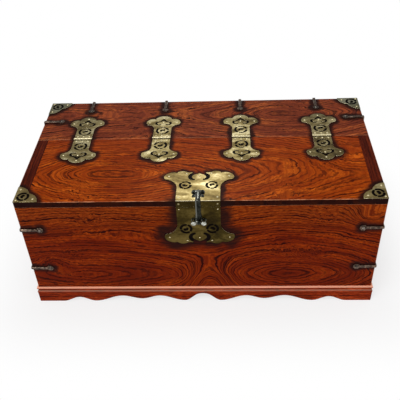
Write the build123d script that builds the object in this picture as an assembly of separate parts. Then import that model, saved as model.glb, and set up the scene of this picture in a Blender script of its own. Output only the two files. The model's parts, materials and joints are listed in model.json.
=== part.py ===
from build123d import *
import os
from math import atan2, cos, radians, sin, sqrt

# Low wooden coin chest: mitred elm carcase on a scalloped plinth, a fixed rear top board, a lid
# on four butterfly hinges, a drop hasp over two lock posts, iron corner straps, brass corner
# plates and a swinging handle at each end.
# Millimetres. +X is to the chest's right, -Y is its front, +Z is up.
# The origin is the middle of the overall box, on the floor. The sketches below are made about the
# middle of the carcase, and the finished nodes are shifted to the origin.

# --- Carcase and top ---------------------------------------------------------------------------
chest_width = 900.0
chest_depth = 457.0
chest_height = 356.0
board_thickness = 18.0
top_thickness = 18.0
rear_top_depth = 191.0
seam_gap = 1.0
cleat_width = 30.0
cleat_tongue_length = 12.0
cleat_tongue_thickness = 6.0
bottom_thickness = 12.0
bottom_groove_depth = 7.0
bottom_raise = 8.0
bottom_clearance = 0.25

# --- Plinth ------------------------------------------------------------------------------------
plinth_height = 52.7
plinth_thickness = 22.0
plinth_apron_step = 4.2
plinth_bead_step = 5.0
plinth_cove_step = 2.0
plinth_ledge_step = 4.8
plinth_shoulder_step = 2.8
plinth_apron_top = 35.0
plinth_bead_top = 39.4
plinth_cove_top = 47.8
plinth_foot_length = 62.0
plinth_back_foot_length = 90.0
plinth_back_lift = 12.0
corner_block_leg = 46.0
corner_block_lift = 6.0
# The scalloped edge, from the foot to the middle: share of the scalloped run, height.
front_scallops = [
    (0.0, 0.0),
    (0.12, 16.0),
    (0.235, 0.7),
    (0.43, 21.0),
    (0.57, 9.3),
    (0.695, 21.0),
    (0.872, 2.0),
]
side_scallops = [(0.0, 0.0), (0.24, 16.0), (0.47, 0.7), (0.76, 19.0)]
scallop_cusp_half_width = 17.0
scallop_cusp_height = 25.5
scallop_middle_height = 30.0
# Share of a wave's length that a curve keeps level at each of its ends.
wave_ease = 0.36

# --- Sheet brass -------------------------------------------------------------------------------
plate_thickness = 1.5
slot_width = 4.4
edge_gap = 0.3

# --- Hinges ------------------------------------------------------------------------------------
hinge_count = 4
hinge_pitch = 216.6
hinge_axis_rise = 2.2
barrel_radius = 2.6
hinge_pin_radius = 1.3
pin_clearance = 0.05
pin_head_radius = 2.1
pin_head_length = 1.2
pin_end_gap = 0.15
knuckle_count = 5
knuckle_gap = 0.3
barrel_clearance = 0.4
neck_half_width = 24.0
neck_length = 47.0
wing_half_width = 47.5
leaf_length = 108.5
hinge_swirl_reach = 35.0
hinge_swirl_radius = 15.4

# --- Corner plates -----------------------------------------------------------------------------
corner_plate_reach = 59.0
corner_lobe_radius = 34.0
corner_swirl_inset = 20.5
corner_swirl_radius = 13.0

# --- Lock plates -------------------------------------------------------------------------------
lock_neck_half_width = 53.5
lock_top_length = 114.0
lock_front_length = 122.0
lock_swirl_offset = 32.8
lock_swirl_radius = 13.0
lock_top_swirl_reach = 58.0
lock_front_swirl_reach = 71.0
lock_edge_nail_inset = 6.5
lock_top_edge_nail_reach = 12.0
lock_front_edge_nail_reach = 9.0

# --- Lock posts --------------------------------------------------------------------------------
post_spacing = 25.0
post_drop = 42.5
post_length = 17.5
post_stem_radius = 4.9
post_stem_half_flat = 4.0
post_head_radius = 6.25
post_head_length = 4.4
post_dome_length = 2.0
post_flange_radius = 6.3
post_flange_thickness = 1.2
post_shank_radius = 2.5
post_clench_radius = 5.5
post_clench_thickness = 1.6
bolt_hole_radius = 2.6
bolt_hole_standoff = 9.2

# --- Hasp and its mount ------------------------------------------------------------------------
hasp_thickness = 5.6
hasp_crown = 2.2
hasp_half_width = 6.3
hasp_knuckle_half_width = 7.1
hasp_collar_half_width = 7.8
hasp_eye_half_width = 5.6
hasp_eye_radius = 6.2
hasp_eye_hole_radius = 2.8
hasp_plate_gap = 0.6
hasp_face_gap = 0.9
hasp_bend_radius = 2.2
hasp_shoulder_rise = 6.8
hasp_collar_length = 3.6
hasp_flare_length = 13.0
hasp_axis_set_back = 28.0
hasp_axis_rise = 4.2
hasp_knuckle_radius = 3.8
hasp_pin_radius = 1.6
hasp_pin_head_radius = 2.1
hasp_pin_head_length = 1.4
hasp_mount_half_width = 15.0
hasp_mount_before_axis = 16.0
hasp_mount_behind_axis = 10.0
hasp_mount_thickness = 2.0
hasp_notch_side_gap = 0.7
hasp_notch_back_gap = 0.8
hasp_lug_width = 5.0

# --- Iron corner straps ------------------------------------------------------------------------
strap_half_width = 4.2
strap_thickness = 3.4
strap_reach = 48.0
rosette_core_radius = 6.4
rosette_petal_radius = 2.9
rosette_petal_circle = 6.1
rosette_petals = 8
rosette_thickness = 1.8
front_strap_rise = 76.3
front_strap_drop = 91.0
top_strap_from_back = 101.0

# --- Nails -------------------------------------------------------------------------------------
nail_head_radius = 2.5
nail_head_height = 1.4
nail_shank_radius = 0.9
nail_shank_length = 12.0
edge_nail_shank_length = 9.0
strap_nail_head_radius = 4.0
strap_nail_head_height = 2.6
nail_clearance = 0.05

# --- End handles -------------------------------------------------------------------------------
handle_height = 228.0
handle_half_span = 50.0
handle_drop = 46.0
handle_bar_radius = 3.2
handle_eye_clearance = 0.3
handle_arm_inset = 9.0
handle_end_overhang = 7.5
handle_elbow_radius = 6.5
handle_corner_radius = 18.0
handle_standoff = 10.5
eye_ring_radius = 7.0
eye_ring_half_width = 3.0
eye_neck_radius = 3.2
rose_radius = 15.5
rose_lobe_radius = 4.4
rose_lobes = 8

# --- Places worked out from the sizes above ----------------------------------------------------
half_width = chest_width / 2
front_y = -chest_depth / 2
back_y = chest_depth / 2
seam_y = back_y - rear_top_depth
wall_top = chest_height - top_thickness
wall_height = wall_top - plinth_height
barrel_groove_radius = barrel_radius + barrel_clearance
plate_top = chest_height + plate_thickness
post_back = -board_thickness
post_height = wall_top - post_drop
hasp_mount_front = hasp_axis_set_back - hasp_mount_before_axis
hasp_mount_back = hasp_axis_set_back + hasp_mount_behind_axis
# The lock posts reach past the front, and the plinth's ledge past the back.
origin_shift = (post_length - plinth_ledge_step) / 2

half_hinges = (hinge_count - 1) / 2
hinge_places = [(index - half_hinges) * hinge_pitch for index in range(hinge_count)]
sides = {"left": -1, "right": 1}


def box_between(low, high):
    """Box with two opposite corners given."""
    size = [high[axis] - low[axis] for axis in range(3)]
    middle = [(high[axis] + low[axis]) / 2 for axis in range(3)]
    return Pos(*middle) * Box(*size)


def path_edges(start, steps):
    """Lines (one point) and arcs (a point passed through, then the end) joined end to end."""
    edges = []
    here = start
    for step in steps:
        edges.append(Line(here, step[0]) if len(step) == 1 else ThreePointArc(here, *step))
        here = step[-1]
    return edges


def mirrored_face(start, steps):
    """Face whose right half follows the steps up to the Y axis, mirrored to its left half."""
    right = Curve() + path_edges(start, steps)
    left = mirror(right, about=Plane.YZ)
    base = Line((-start[0], start[1]), start)
    return make_face(right.edges() + left.edges() + base.edges())


def slot_along(curve, width=slot_width):
    """Round-ended slot that follows a curve."""
    return SlotArc(curve, width)


def outward(x, y, z, direction):
    """Location whose +Z points out of a face: 'top', 'front', 'back', 'left' or 'right'."""
    turns = {
        "top": (0, 0, 0),
        "front": (90, 0, 0),
        "back": (-90, 0, 0),
        "left": (0, -90, 0),
        "right": (0, 90, 0),
    }
    return Pos(x, y, z) * Rot(*turns[direction])


# --- Nails -------------------------------------------------------------------------------------
def turned(start, steps):
    """Solid turned about Z from a half section of (radius, height) points."""
    edges = path_edges(start, steps)
    end = steps[-1][-1]
    axis_line = Line(end, start)
    section = make_face(edges + [axis_line])
    return revolve(Plane.XZ * section, Axis.Z)


def cap_point(radius, height):
    """Point halfway along a spherical cap, from its foot's middle: (radius, height)."""
    sphere_radius = (radius**2 + height**2) / (2 * height)
    half_angle = atan2(radius, sphere_radius - height) / 2
    return sphere_radius * sin(half_angle), height - sphere_radius * (1 - cos(half_angle))


def domed_nail(head_radius, head_height, shank_length):
    """Domed nail whose head sits on z = 0."""
    return turned(
        (0, head_height),
        [
            (cap_point(head_radius, head_height), (head_radius, 0)),
            ((nail_shank_radius, 0),),
            ((nail_shank_radius, -shank_length),),
            ((0, -shank_length - nail_shank_radius),),
        ],
    )


def nail_hole(shank_length):
    """Hole that a nail's shank passes through, from just above its head's seat."""
    radius = nail_shank_radius + nail_clearance
    depth = shank_length + nail_shank_radius + 2 * nail_clearance
    return Pos(0, 0, -depth / 2) * Cylinder(radius, depth)


plate_nail = domed_nail(nail_head_radius, nail_head_height, nail_shank_length)
plate_nail_hole = nail_hole(nail_shank_length)
edge_nail = domed_nail(nail_head_radius, nail_head_height, edge_nail_shank_length)
edge_nail_hole = nail_hole(edge_nail_shank_length)
strap_nail = domed_nail(strap_nail_head_radius, strap_nail_head_height, nail_shank_length)


def cut_holes(solid, places, hole=plate_nail_hole):
    """Solid with a nail hole at each place."""
    for place in places:
        solid = solid - place * hole
    return solid


def nail_group(places, nail=plate_nail):
    """Nails set at the places, as one group of solids."""
    return [place * nail for place in places]


# --- Sheet brass shapes ------------------------------------------------------------------------
def swirl_slots(radius, lead):
    """Three ring slots about a comma: the pierced swirl of the brass plates."""
    slot_sweep = 88.0
    comma_turn = lead + 20.0
    comma_sweep = 165.0
    comma_reach = 0.27 * radius
    head_radius = 0.27 * radius
    tail_width = 0.27 * radius
    slots = [
        slot_along(CenterArc((0, 0), radius, lead + turn, slot_sweep))
        for turn in (0, 120, 240)
    ]
    head = Rot(0, 0, comma_turn) * Pos(comma_reach, 0) * Circle(head_radius)
    tail = slot_along(CenterArc((0, 0), comma_reach, comma_turn, comma_sweep), tail_width)
    return slots + [head, tail]


def cut_swirl(face, x, y, radius, lead):
    for slot in swirl_slots(radius, lead):
        face = face - Pos(x, y) * slot
    return face


def sheet_plate(face):
    """Plate of the sheet brass's thickness, lying on z = 0."""
    return extrude(face, plate_thickness)


def butterfly_leaf_face():
    """One hinge leaf, from the seam at y = 0 to its pointed tip."""
    cusp = (0.49 * wing_half_width, leaf_length - 16.0)
    face = mirrored_face(
        (neck_half_width, 0),
        [
            ((neck_half_width, neck_length),),
            ((neck_half_width + 7.0, neck_length + 13.0), (wing_half_width - 3.0, neck_length + 19.5)),
            ((wing_half_width, neck_length + 26.0), (wing_half_width - 4.0, leaf_length - 21.5)),
            ((wing_half_width - 14.0, leaf_length - 14.6), cusp),
            ((0.62 * cusp[0], leaf_length - 4.2), (0, leaf_length)),
        ],
    )
    face = cut_swirl(face, 0, hinge_swirl_reach, hinge_swirl_radius, 20)
    for side in (-1, 1):
        hook = ThreePointArc(
            (side * 8.5, leaf_length - 42.5),
            (side * 19.5, leaf_length - 40.5),
            (side * 17.0, leaf_length - 30.5),
        )
        crown = ThreePointArc(
            (side * 17.0, leaf_length - 30.5),
            (side * 7.5, leaf_length - 26.0),
            (0, leaf_length - 17.5),
        )
        face = face - slot_along(hook) - slot_along(crown)
    return face


hinge_nail_places = [
    (0, 11.0),
    (8.0 - neck_half_width, 11.0),
    (neck_half_width - 8.0, 11.0),
    (9.0 - wing_half_width, leaf_length - 32.5),
    (wing_half_width - 9.0, leaf_length - 32.5),
    (0, leaf_length - 32.0),
    (0, leaf_length - 9.5),
]


def lock_plate_face(length, swirl_reach):
    """Lock plate, from the lid's edge at y = 0 to its cloud-shaped end."""
    side = lock_neck_half_width
    face = mirrored_face(
        (side, 0),
        [
            ((side, length - 70.0),),
            ((side + 6.0, length - 47.0), (side + 23.5, length - 33.5)),
            ((side + 28.0, length - 33.0), (side + 32.5, length - 30.0)),
            ((side + 33.0, length - 17.5), (side + 25.5, length - 9.5)),
            ((side + 15.0, length - 4.8), (side + 3.0, length - 6.0)),
            ((side - 8.5, length), (32.5, length - 2.6)),
            ((25.0, length - 5.0), (18.0, length - 3.8)),
            ((17.2, length - 6.5), (20.5, length - 9.0)),
            ((26.8, length - 21.5), (13.5, length - 36.5)),
            ((10.5, length - 34.5), (12.5, length - 31.5)),
            ((18.6, length - 23.0), (13.5, length - 15.0)),
            ((8.0, length - 12.3), (0, length - 8.5)),
        ],
    )
    face = cut_swirl(face, -lock_swirl_offset, swirl_reach, lock_swirl_radius, 150)
    return cut_swirl(face, lock_swirl_offset, swirl_reach, lock_swirl_radius, 30)


def lock_nail_places(length):
    """Nails of a lock plate's cloud end, as (x, reach from the lid's edge)."""
    pairs = [(lock_neck_half_width + 22.0, length - 20.5), (31.0, length - 9.5)]
    mirrored = [(side * x, reach) for x, reach in pairs for side in (-1, 1)]
    return mirrored + [(0, length - 19.5)]


def corner_plate_face():
    """Two-lobed corner plate that fills the corner x > 0, y > 0 of its own axes."""
    offset = corner_plate_reach - corner_lobe_radius
    lobes = Pos(offset, 0) * Circle(corner_lobe_radius)
    lobes = lobes + Pos(0, offset) * Circle(corner_lobe_radius)
    corner = Rectangle(corner_plate_reach, corner_plate_reach, align=(Align.MIN, Align.MIN))
    face = (lobes & corner) + Rectangle(offset, offset, align=(Align.MIN, Align.MIN))
    return cut_swirl(face, corner_swirl_inset, corner_swirl_inset, corner_swirl_radius, 70)


corner_nail_places = [
    (corner_plate_reach - 12.0, 11.0),
    (9.0, corner_plate_reach - 11.0),
    (6.5, 6.5),
]


# --- Wooden carcase ----------------------------------------------------------------------------
def ring_side(outer, inner, across):
    """Plan of one mitred side of a rectangular frame, its outside at y = -across."""
    run_outer, run_inner = outer
    return make_face(
        Polyline(
            (-run_outer, -across),
            (run_outer, -across),
            (run_inner, inner - across),
            (-run_inner, inner - across),
            close=True,
        )
    )


def wall(half_run, half_across):
    """Mitred carcase wall along X, its outer face at y = -half_across."""
    plan = ring_side((half_run, half_run - board_thickness), board_thickness, half_across)
    return Pos(0, 0, plinth_height) * extrude(plan, wall_height)


def bottom_panel(clearance):
    """Bottom board, grown by a clearance to make the groove that holds it."""
    reach_x = half_width - board_thickness + bottom_groove_depth + clearance
    reach_y = back_y - board_thickness + bottom_groove_depth + clearance
    low = plinth_height + bottom_raise
    high = low + bottom_thickness
    return box_between((-reach_x, -reach_y, low), (reach_x, reach_y, high))


def carcase_walls():
    groove = bottom_panel(bottom_clearance)
    front = wall(half_width, back_y)
    back = Rot(0, 0, 180) * front
    side = wall(back_y, half_width)
    walls = {
        "front_board": front,
        "back_board": back,
        "left_side_board": Rot(0, 0, -90) * side,
        "right_side_board": Rot(0, 0, 90) * side,
    }
    return {name: board - groove for name, board in walls.items()}


# --- Plinth ------------------------------------------------------------------------------------
def plinth_section():
    """Plinth moulding: x is the step out from the carcase, y the height."""
    inner = plinth_apron_step - plinth_thickness
    bead_middle = (plinth_apron_top + plinth_bead_top) / 2
    cove_middle = (plinth_bead_top + plinth_cove_top) / 2
    ledge_middle = (plinth_cove_top + plinth_height) / 2
    edges = path_edges(
        (inner, 0),
        [
            ((plinth_apron_step, 0),),
            ((plinth_apron_step, plinth_apron_top),),
            ((plinth_bead_step, bead_middle), (plinth_apron_step, plinth_bead_top)),
            ((plinth_cove_step, cove_middle), (plinth_shoulder_step, plinth_cove_top)),
            ((plinth_ledge_step, ledge_middle), (plinth_shoulder_step, plinth_height)),
            ((inner, plinth_height),),
            ((inner, 0),),
        ],
    )
    return make_face(edges)


def wave(start, end, level_end=True):
    """Curve from one height of the scallop to the next, level at its ends."""
    span = wave_ease * (end[0] - start[0])
    rise = 0.0 if level_end else wave_ease * (end[1] - start[1])
    return Bezier(start, (start[0] + span, start[1]), (end[0] - span, end[1] - rise), end)


def scallop_cutter(half_run, scallops):
    """Space below a scalloped edge, in the XZ plane, as wide as the plinth is deep."""
    scallop_run = half_run - plinth_foot_length
    stations = [(scallop_run * (1 - share), height) for share, height in scallops]
    cusp = (scallop_cusp_half_width, scallop_cusp_height)
    edges = [wave(start, end) for start, end in zip(stations, stations[1:])]
    edges.append(wave(stations[-1], cusp, level_end=False))
    right = Curve() + edges
    left = mirror(right, about=Plane.YZ)
    arch = ThreePointArc(cusp, (0, scallop_middle_height), (-cusp[0], cusp[1]))
    below = -1.0
    floor_line = path_edges(
        (scallop_run, 0), [((scallop_run, below),), ((-scallop_run, below),), ((-scallop_run, 0),)]
    )
    outline = right.edges() + left.edges() + arch.edges()
    for line in floor_line:
        outline = outline + line.edges()
    depth = 3 * plinth_thickness
    return extrude(Plane.XZ * make_face(outline), depth / 2, both=True)


def back_lift_cutter(half_run):
    """Straight lift of the plinth's hidden side between its two feet."""
    reach = half_run - plinth_back_foot_length
    depth = 3 * plinth_thickness
    return Pos(0, 0, plinth_back_lift / 2) * Box(2 * reach, depth, plinth_back_lift)


def plinth_side(half_run, half_across, cutter):
    """Mitred plinth side along X, its carcase face at y = -half_across."""
    past = plinth_ledge_step + 1.0
    inner = plinth_thickness - plinth_apron_step
    length = 2 * (half_run + past)
    section = Plane(origin=(length / 2, -half_across, 0), x_dir=(0, -1, 0), z_dir=(-1, 0, 0))
    moulding = extrude(section * plinth_section(), length)
    plan = ring_side((half_run + past, half_run - inner), past + inner, half_across + past)
    mitred = moulding & extrude(plan, plinth_height + 1.0)
    return mitred - Pos(0, -half_across, 0) * cutter


def plinth():
    front = plinth_side(half_width, back_y, scallop_cutter(half_width, front_scallops))
    back = plinth_side(half_width, back_y, back_lift_cutter(half_width))
    side = plinth_side(back_y, half_width, scallop_cutter(back_y, side_scallops))
    return {
        "plinth_front": front,
        "plinth_back": Rot(0, 0, 180) * back,
        "plinth_left": Rot(0, 0, -90) * side,
        "plinth_right": Rot(0, 0, 90) * side,
    }


def plinth_corner_blocks():
    """Glue blocks that stiffen the plinth's four inner corners."""
    inner = plinth_thickness - plinth_apron_step
    corner_x = half_width - inner
    corner_y = back_y - inner
    height = plinth_height - corner_block_lift
    blocks = []
    for x_side in (-1, 1):
        for y_side in (-1, 1):
            triangle = make_face(
                Polyline(
                    (x_side * corner_x, y_side * corner_y),
                    (x_side * (corner_x - corner_block_leg), y_side * corner_y),
                    (x_side * corner_x, y_side * (corner_y - corner_block_leg)),
                    close=True,
                )
            )
            blocks.append(Pos(0, 0, corner_block_lift) * extrude(triangle, height, dir=(0, 0, 1)))
    return blocks


# --- Places of the nails -----------------------------------------------------------------------
def leaf_nails(y_side):
    """Nails of the hinge leaves on the lid (-1) or on the rear board (1)."""
    return [
        outward(x + u, seam_y + y_side * v, plate_top, "top")
        for x in hinge_places
        for u, v in hinge_nail_places
    ]


def lid_hinge_nails():
    return leaf_nails(-1)


def rear_hinge_nails():
    return leaf_nails(1)


def corner_nails(y_side):
    """Nails of the two corner plates at the front (-1) or the back (1) of the top."""
    return [
        outward(x_side * (half_width - u), y_side * (back_y - v), plate_top, "top")
        for x_side in (-1, 1)
        for u, v in corner_nail_places
    ]


wrap_nail_offset = lock_neck_half_width - lock_edge_nail_inset
lock_top_nail_places = lock_nail_places(lock_top_length) + [
    (side * wrap_nail_offset, lock_top_edge_nail_reach) for side in (-1, 1)
]
lock_front_nail_places = lock_nail_places(lock_front_length) + [
    (side * wrap_nail_offset, lock_front_edge_nail_reach) for side in (-1, 1)
]
hasp_mount_nail_places = [
    (side * (hasp_mount_half_width - 3.5), hasp_mount_front + 3.5) for side in (-1, 1)
] + [(0, hasp_mount_back - 2.0)]


def lock_top_nails():
    return [outward(x, front_y + reach, plate_top, "top") for x, reach in lock_top_nail_places]


def wrap_nails():
    height = wall_top + top_thickness / 2
    return [
        outward(side * wrap_nail_offset, front_y - plate_thickness, height, "front") for side in (-1, 1)
    ]


def lock_front_nails():
    return [
        outward(x, front_y - plate_thickness, wall_top - reach, "front")
        for x, reach in lock_front_nail_places
    ]


def hasp_mount_nails():
    height = plate_top + hasp_mount_thickness
    return [outward(x, front_y + reach, height, "top") for x, reach in hasp_mount_nail_places]


# --- Straps ------------------------------------------------------------------------------------
def rosette():
    """Flower-shaped strap head on z = 0."""
    flower = Circle(rosette_core_radius)
    for index in range(rosette_petals):
        angle = radians(360 / rosette_petals * (index + 0.5))
        centre = (rosette_petal_circle * cos(angle), rosette_petal_circle * sin(angle))
        flower = flower + Pos(*centre) * Circle(rosette_petal_radius)
    return extrude(flower, rosette_thickness)


def strap():
    """Strap over an outside corner that runs along Z, with the wood at x < 0 and y < 0."""
    arm = strap_reach - rosette_core_radius
    corner_radius = strap_thickness * 0.8
    bend = strap_thickness - corner_radius
    arc_middle = bend + corner_radius * sqrt(0.5)
    side_view = make_face(
        path_edges(
            (-arm, 0),
            [
                ((-arm, strap_thickness),),
                ((bend, strap_thickness),),
                ((arc_middle, arc_middle), (strap_thickness, bend)),
                ((strap_thickness, -arm),),
                ((0, -arm),),
                ((0, 0),),
                ((-arm, 0),),
            ],
        )
    )
    bar = extrude(side_view, strap_half_width, both=True)
    crown = [
        edge
        for edge in bar.edges().filter_by(Plane.XY)
        if max(edge.center().X, edge.center().Y) > strap_thickness * 0.6
    ]
    bar = chamfer(crown, strap_thickness * 0.45)
    heads = [
        Pos(-strap_reach, 0, 0) * Rot(-90, 0, 0) * rosette(),
        Pos(0, -strap_reach, 0) * Rot(0, 90, 0) * rosette(),
    ]
    return cut_holes(bar + heads[0] + heads[1], strap_nails_at(Pos(0, 0, 0)))


def strap_nails_at(place):
    """The two nails of a strap that is set at a place."""
    return [
        place * Pos(-strap_reach, rosette_thickness, 0) * Rot(-90, 0, 0),
        place * Pos(rosette_thickness, -strap_reach, 0) * Rot(0, 90, 0),
    ]


def strap_places():
    """Place of each strap: its corner's line, turned so that the wood is inside."""
    places = {}
    levels = {
        "lower": plinth_height + front_strap_rise,
        "upper": chest_height - front_strap_drop,
    }
    for name, side in sides.items():
        for level, height in levels.items():
            turn = Rot(0, 0, -90) if side > 0 else Rot(0, 0, 180)
            places[f"strap_front_{name}_{level}"] = Pos(side * half_width, front_y, height) * turn
        y = back_y - top_strap_from_back
        turn = Rot(90, 0, 0) if side > 0 else Rot(90, 0, 0) * Rot(0, 0, 90)
        places[f"strap_top_{name}"] = Pos(side * half_width, y, chest_height) * turn
    for index, x in enumerate(hinge_places):
        places[f"strap_back_{index + 1}"] = Pos(x, back_y, chest_height) * Rot(0, -90, 0)
    return places


# --- Hinges ------------------------------------------------------------------------------------
knuckle_length = (2 * neck_half_width - (knuckle_count - 1) * knuckle_gap) / knuckle_count


def knuckle_middle(index):
    return -neck_half_width + knuckle_length / 2 + index * (knuckle_length + knuckle_gap)


def hinge_leaf(first_knuckle):
    """Leaf on z = 0 that reaches to +y, with every second knuckle from the first one given."""
    leaf = sheet_plate(butterfly_leaf_face())
    for index in range(knuckle_count):
        middle = knuckle_middle(index)
        place = Pos(middle, 0, hinge_axis_rise) * Rot(0, 90, 0)
        if index % 2 == first_knuckle:
            leaf = leaf + place * Cylinder(barrel_radius, knuckle_length)
        else:
            width = knuckle_length + 2 * knuckle_gap
            leaf = leaf - Pos(middle, 0, 0) * Box(width, 2 * barrel_groove_radius, 4 * plate_thickness)
    bore_length = 2 * neck_half_width + 1.0
    bore = Cylinder(hinge_pin_radius + pin_clearance, bore_length)
    leaf = leaf - Pos(0, 0, hinge_axis_rise) * Rot(0, 90, 0) * bore
    for x, y in hinge_nail_places:
        leaf = leaf - Pos(x, y, plate_thickness) * plate_nail_hole
    return leaf


def headed_pin(radius, half_length, head_radius, head_length):
    """Pin along X whose two ends are peened into low domes."""
    cap_radius, cap_rise = cap_point(head_radius, head_length)
    pin = turned(
        (0, half_length + head_length),
        [
            ((cap_radius, half_length + cap_rise), (head_radius, half_length)),
            ((radius, half_length),),
            ((radius, -half_length),),
            ((head_radius, -half_length),),
            ((cap_radius, -half_length - cap_rise), (0, -half_length - head_length)),
        ],
    )
    return Rot(0, 90, 0) * pin


def hinge_pin():
    """Pin through a hinge's knuckles, about the hinge's axis."""
    half_length = neck_half_width + pin_end_gap
    pin = headed_pin(hinge_pin_radius, half_length, pin_head_radius, pin_head_length)
    return Pos(0, 0, hinge_axis_rise) * pin


def barrel_grooves():
    """Grooves along the seam that let the hinge barrels down into the wood."""
    length = 2 * (neck_half_width + pin_head_length + 1.0)
    groove = Rot(0, 90, 0) * Cylinder(barrel_groove_radius, length)
    return [Pos(x, seam_y, chest_height + hinge_axis_rise) * groove for x in hinge_places]


# --- Lock --------------------------------------------------------------------------------------
def lock_top_plate():
    """Lock plate on the lid, bent down over the lid's front edge."""
    face = lock_plate_face(lock_top_length, lock_top_swirl_reach)
    flat = Pos(0, front_y, chest_height) * sheet_plate(face)
    low = (-lock_neck_half_width, front_y - plate_thickness, wall_top + edge_gap)
    high = (lock_neck_half_width, front_y, plate_top)
    wrap = box_between(low, high)
    bend = wrap.edges().filter_by(Axis.X).sort_by(Axis.Z)[-2:].sort_by(Axis.Y)[0]
    wrap = fillet(bend, plate_thickness * 0.9)
    plate = cut_holes(flat + wrap, lock_top_nails())
    plate = cut_holes(plate, wrap_nails(), edge_nail_hole)
    return cut_holes(plate, hasp_mount_nails())


def lock_front_plate():
    """Lock plate on the front board, below the lid's edge."""
    face = lock_plate_face(lock_front_length - edge_gap, lock_front_swirl_reach)
    flat = sheet_plate(face)
    place = Pos(0, front_y, wall_top - edge_gap) * Rot(90, 0, 0) * Rot(0, 0, 180)
    plate = cut_holes(place * flat, lock_front_nails())
    hole = Cylinder(post_shank_radius + nail_clearance, 4 * board_thickness)
    for side in (-1, 1):
        plate = plate - outward(side * post_spacing / 2, front_y, post_height, "front") * hole
    return plate


def lock_post(side):
    """Lock post: a stem with a bolt hole, through the front board and clenched inside."""
    head_foot = post_length - post_head_length
    head_rim = post_length - post_dome_length
    flange_top = plate_thickness + post_flange_thickness
    clench_end = post_back - post_clench_thickness
    cap_radius, cap_rise = cap_point(post_head_radius, post_dome_length)
    post = turned(
        (0, post_length),
        [
            ((cap_radius, head_rim + cap_rise), (post_head_radius, head_rim)),
            ((post_stem_radius, head_foot),),
            ((post_stem_radius, flange_top),),
            ((post_flange_radius, flange_top),),
            ((post_flange_radius, plate_thickness),),
            ((post_shank_radius, plate_thickness),),
            ((post_shank_radius, post_back),),
            ((post_clench_radius, post_back),),
            ((post_clench_radius, clench_end),),
            ((0, clench_end),),
        ],
    )
    stem_length = head_foot - flange_top
    for flat in (-1, 1):
        middle = flat * (post_stem_half_flat + post_stem_radius)
        slab = Box(2 * post_stem_radius, 4 * post_stem_radius, stem_length)
        post = post - Pos(middle, 0, flange_top + stem_length / 2) * slab
    bolt = Rot(0, 90, 0) * Cylinder(bolt_hole_radius, 4 * post_head_radius)
    post = post - Pos(0, 0, bolt_hole_standoff) * bolt
    return outward(side * post_spacing / 2, front_y, post_height, "front") * post


hasp_axis_y = front_y + hasp_axis_set_back
hasp_axis_z = plate_top + hasp_axis_rise
hasp_low = plate_top + hasp_plate_gap
hasp_inner_y = front_y - plate_thickness - hasp_face_gap
hasp_outer_y = hasp_inner_y - hasp_thickness
hasp_eye_y = front_y - bolt_hole_standoff


def hasp_bar():
    """Crowned iron bar from the hasp's axis, forward, round the lid's edge and down."""
    low_end = post_height + hasp_shoulder_rise
    bend = hasp_bend_radius
    slant = bend * (1 - sqrt(0.5))
    path = path_edges(
        (0, hasp_axis_y, hasp_low),
        [
            ((0, hasp_inner_y + bend, hasp_low),),
            ((0, hasp_inner_y + slant, hasp_low - slant), (0, hasp_inner_y, hasp_low - bend)),
            ((0, hasp_inner_y, low_end),),
        ],
    )
    flank = hasp_thickness - hasp_crown
    start = Plane(origin=(0, hasp_axis_y, hasp_low), x_dir=(1, 0, 0), z_dir=(0, -1, 0))
    crown_point = (hasp_half_width * 0.55, flank + hasp_crown * 0.7)
    section = mirrored_face(
        (hasp_half_width, 0),
        [((hasp_half_width, flank),), (crown_point, (0, hasp_thickness))],
    )
    return sweep(start * section, path=Curve() + path)


def hasp():
    """Drop hasp: a knuckle, a bar bent down over the lid's edge, a flared end and a bolt eye."""
    shoulder = post_height + hasp_shoulder_rise
    collar = shoulder + hasp_collar_length
    flare_top = collar + hasp_flare_length
    reach = hasp_collar_half_width
    flare_view = mirrored_face(
        (reach, shoulder),
        [((reach, collar),), ((hasp_half_width, flare_top),), ((0, flare_top),)],
    )
    flank = hasp_thickness - hasp_crown
    flare = Pos(0, hasp_inner_y, 0) * extrude(Plane.XZ * flare_view, flank)
    neck_low = (-hasp_eye_half_width, hasp_outer_y, post_height)
    neck = box_between(neck_low, (hasp_eye_half_width, hasp_inner_y, shoulder))
    knuckle = Rot(0, 90, 0) * Cylinder(hasp_knuckle_radius, 2 * hasp_knuckle_half_width)
    eye = Rot(0, 90, 0) * Cylinder(hasp_eye_radius, 2 * hasp_eye_half_width)
    pin_hole = Rot(0, 90, 0) * Cylinder(hasp_pin_radius + pin_clearance, 4 * hasp_half_width)
    bolt_hole = Rot(0, 90, 0) * Cylinder(hasp_eye_hole_radius, 4 * hasp_half_width)
    solid = hasp_bar() + flare + neck + Pos(0, hasp_axis_y, hasp_axis_z) * knuckle
    solid = solid + Pos(0, hasp_eye_y, post_height) * eye
    solid = solid - Pos(0, hasp_axis_y, hasp_axis_z) * pin_hole
    return solid - Pos(0, hasp_eye_y, post_height) * bolt_hole


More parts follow.
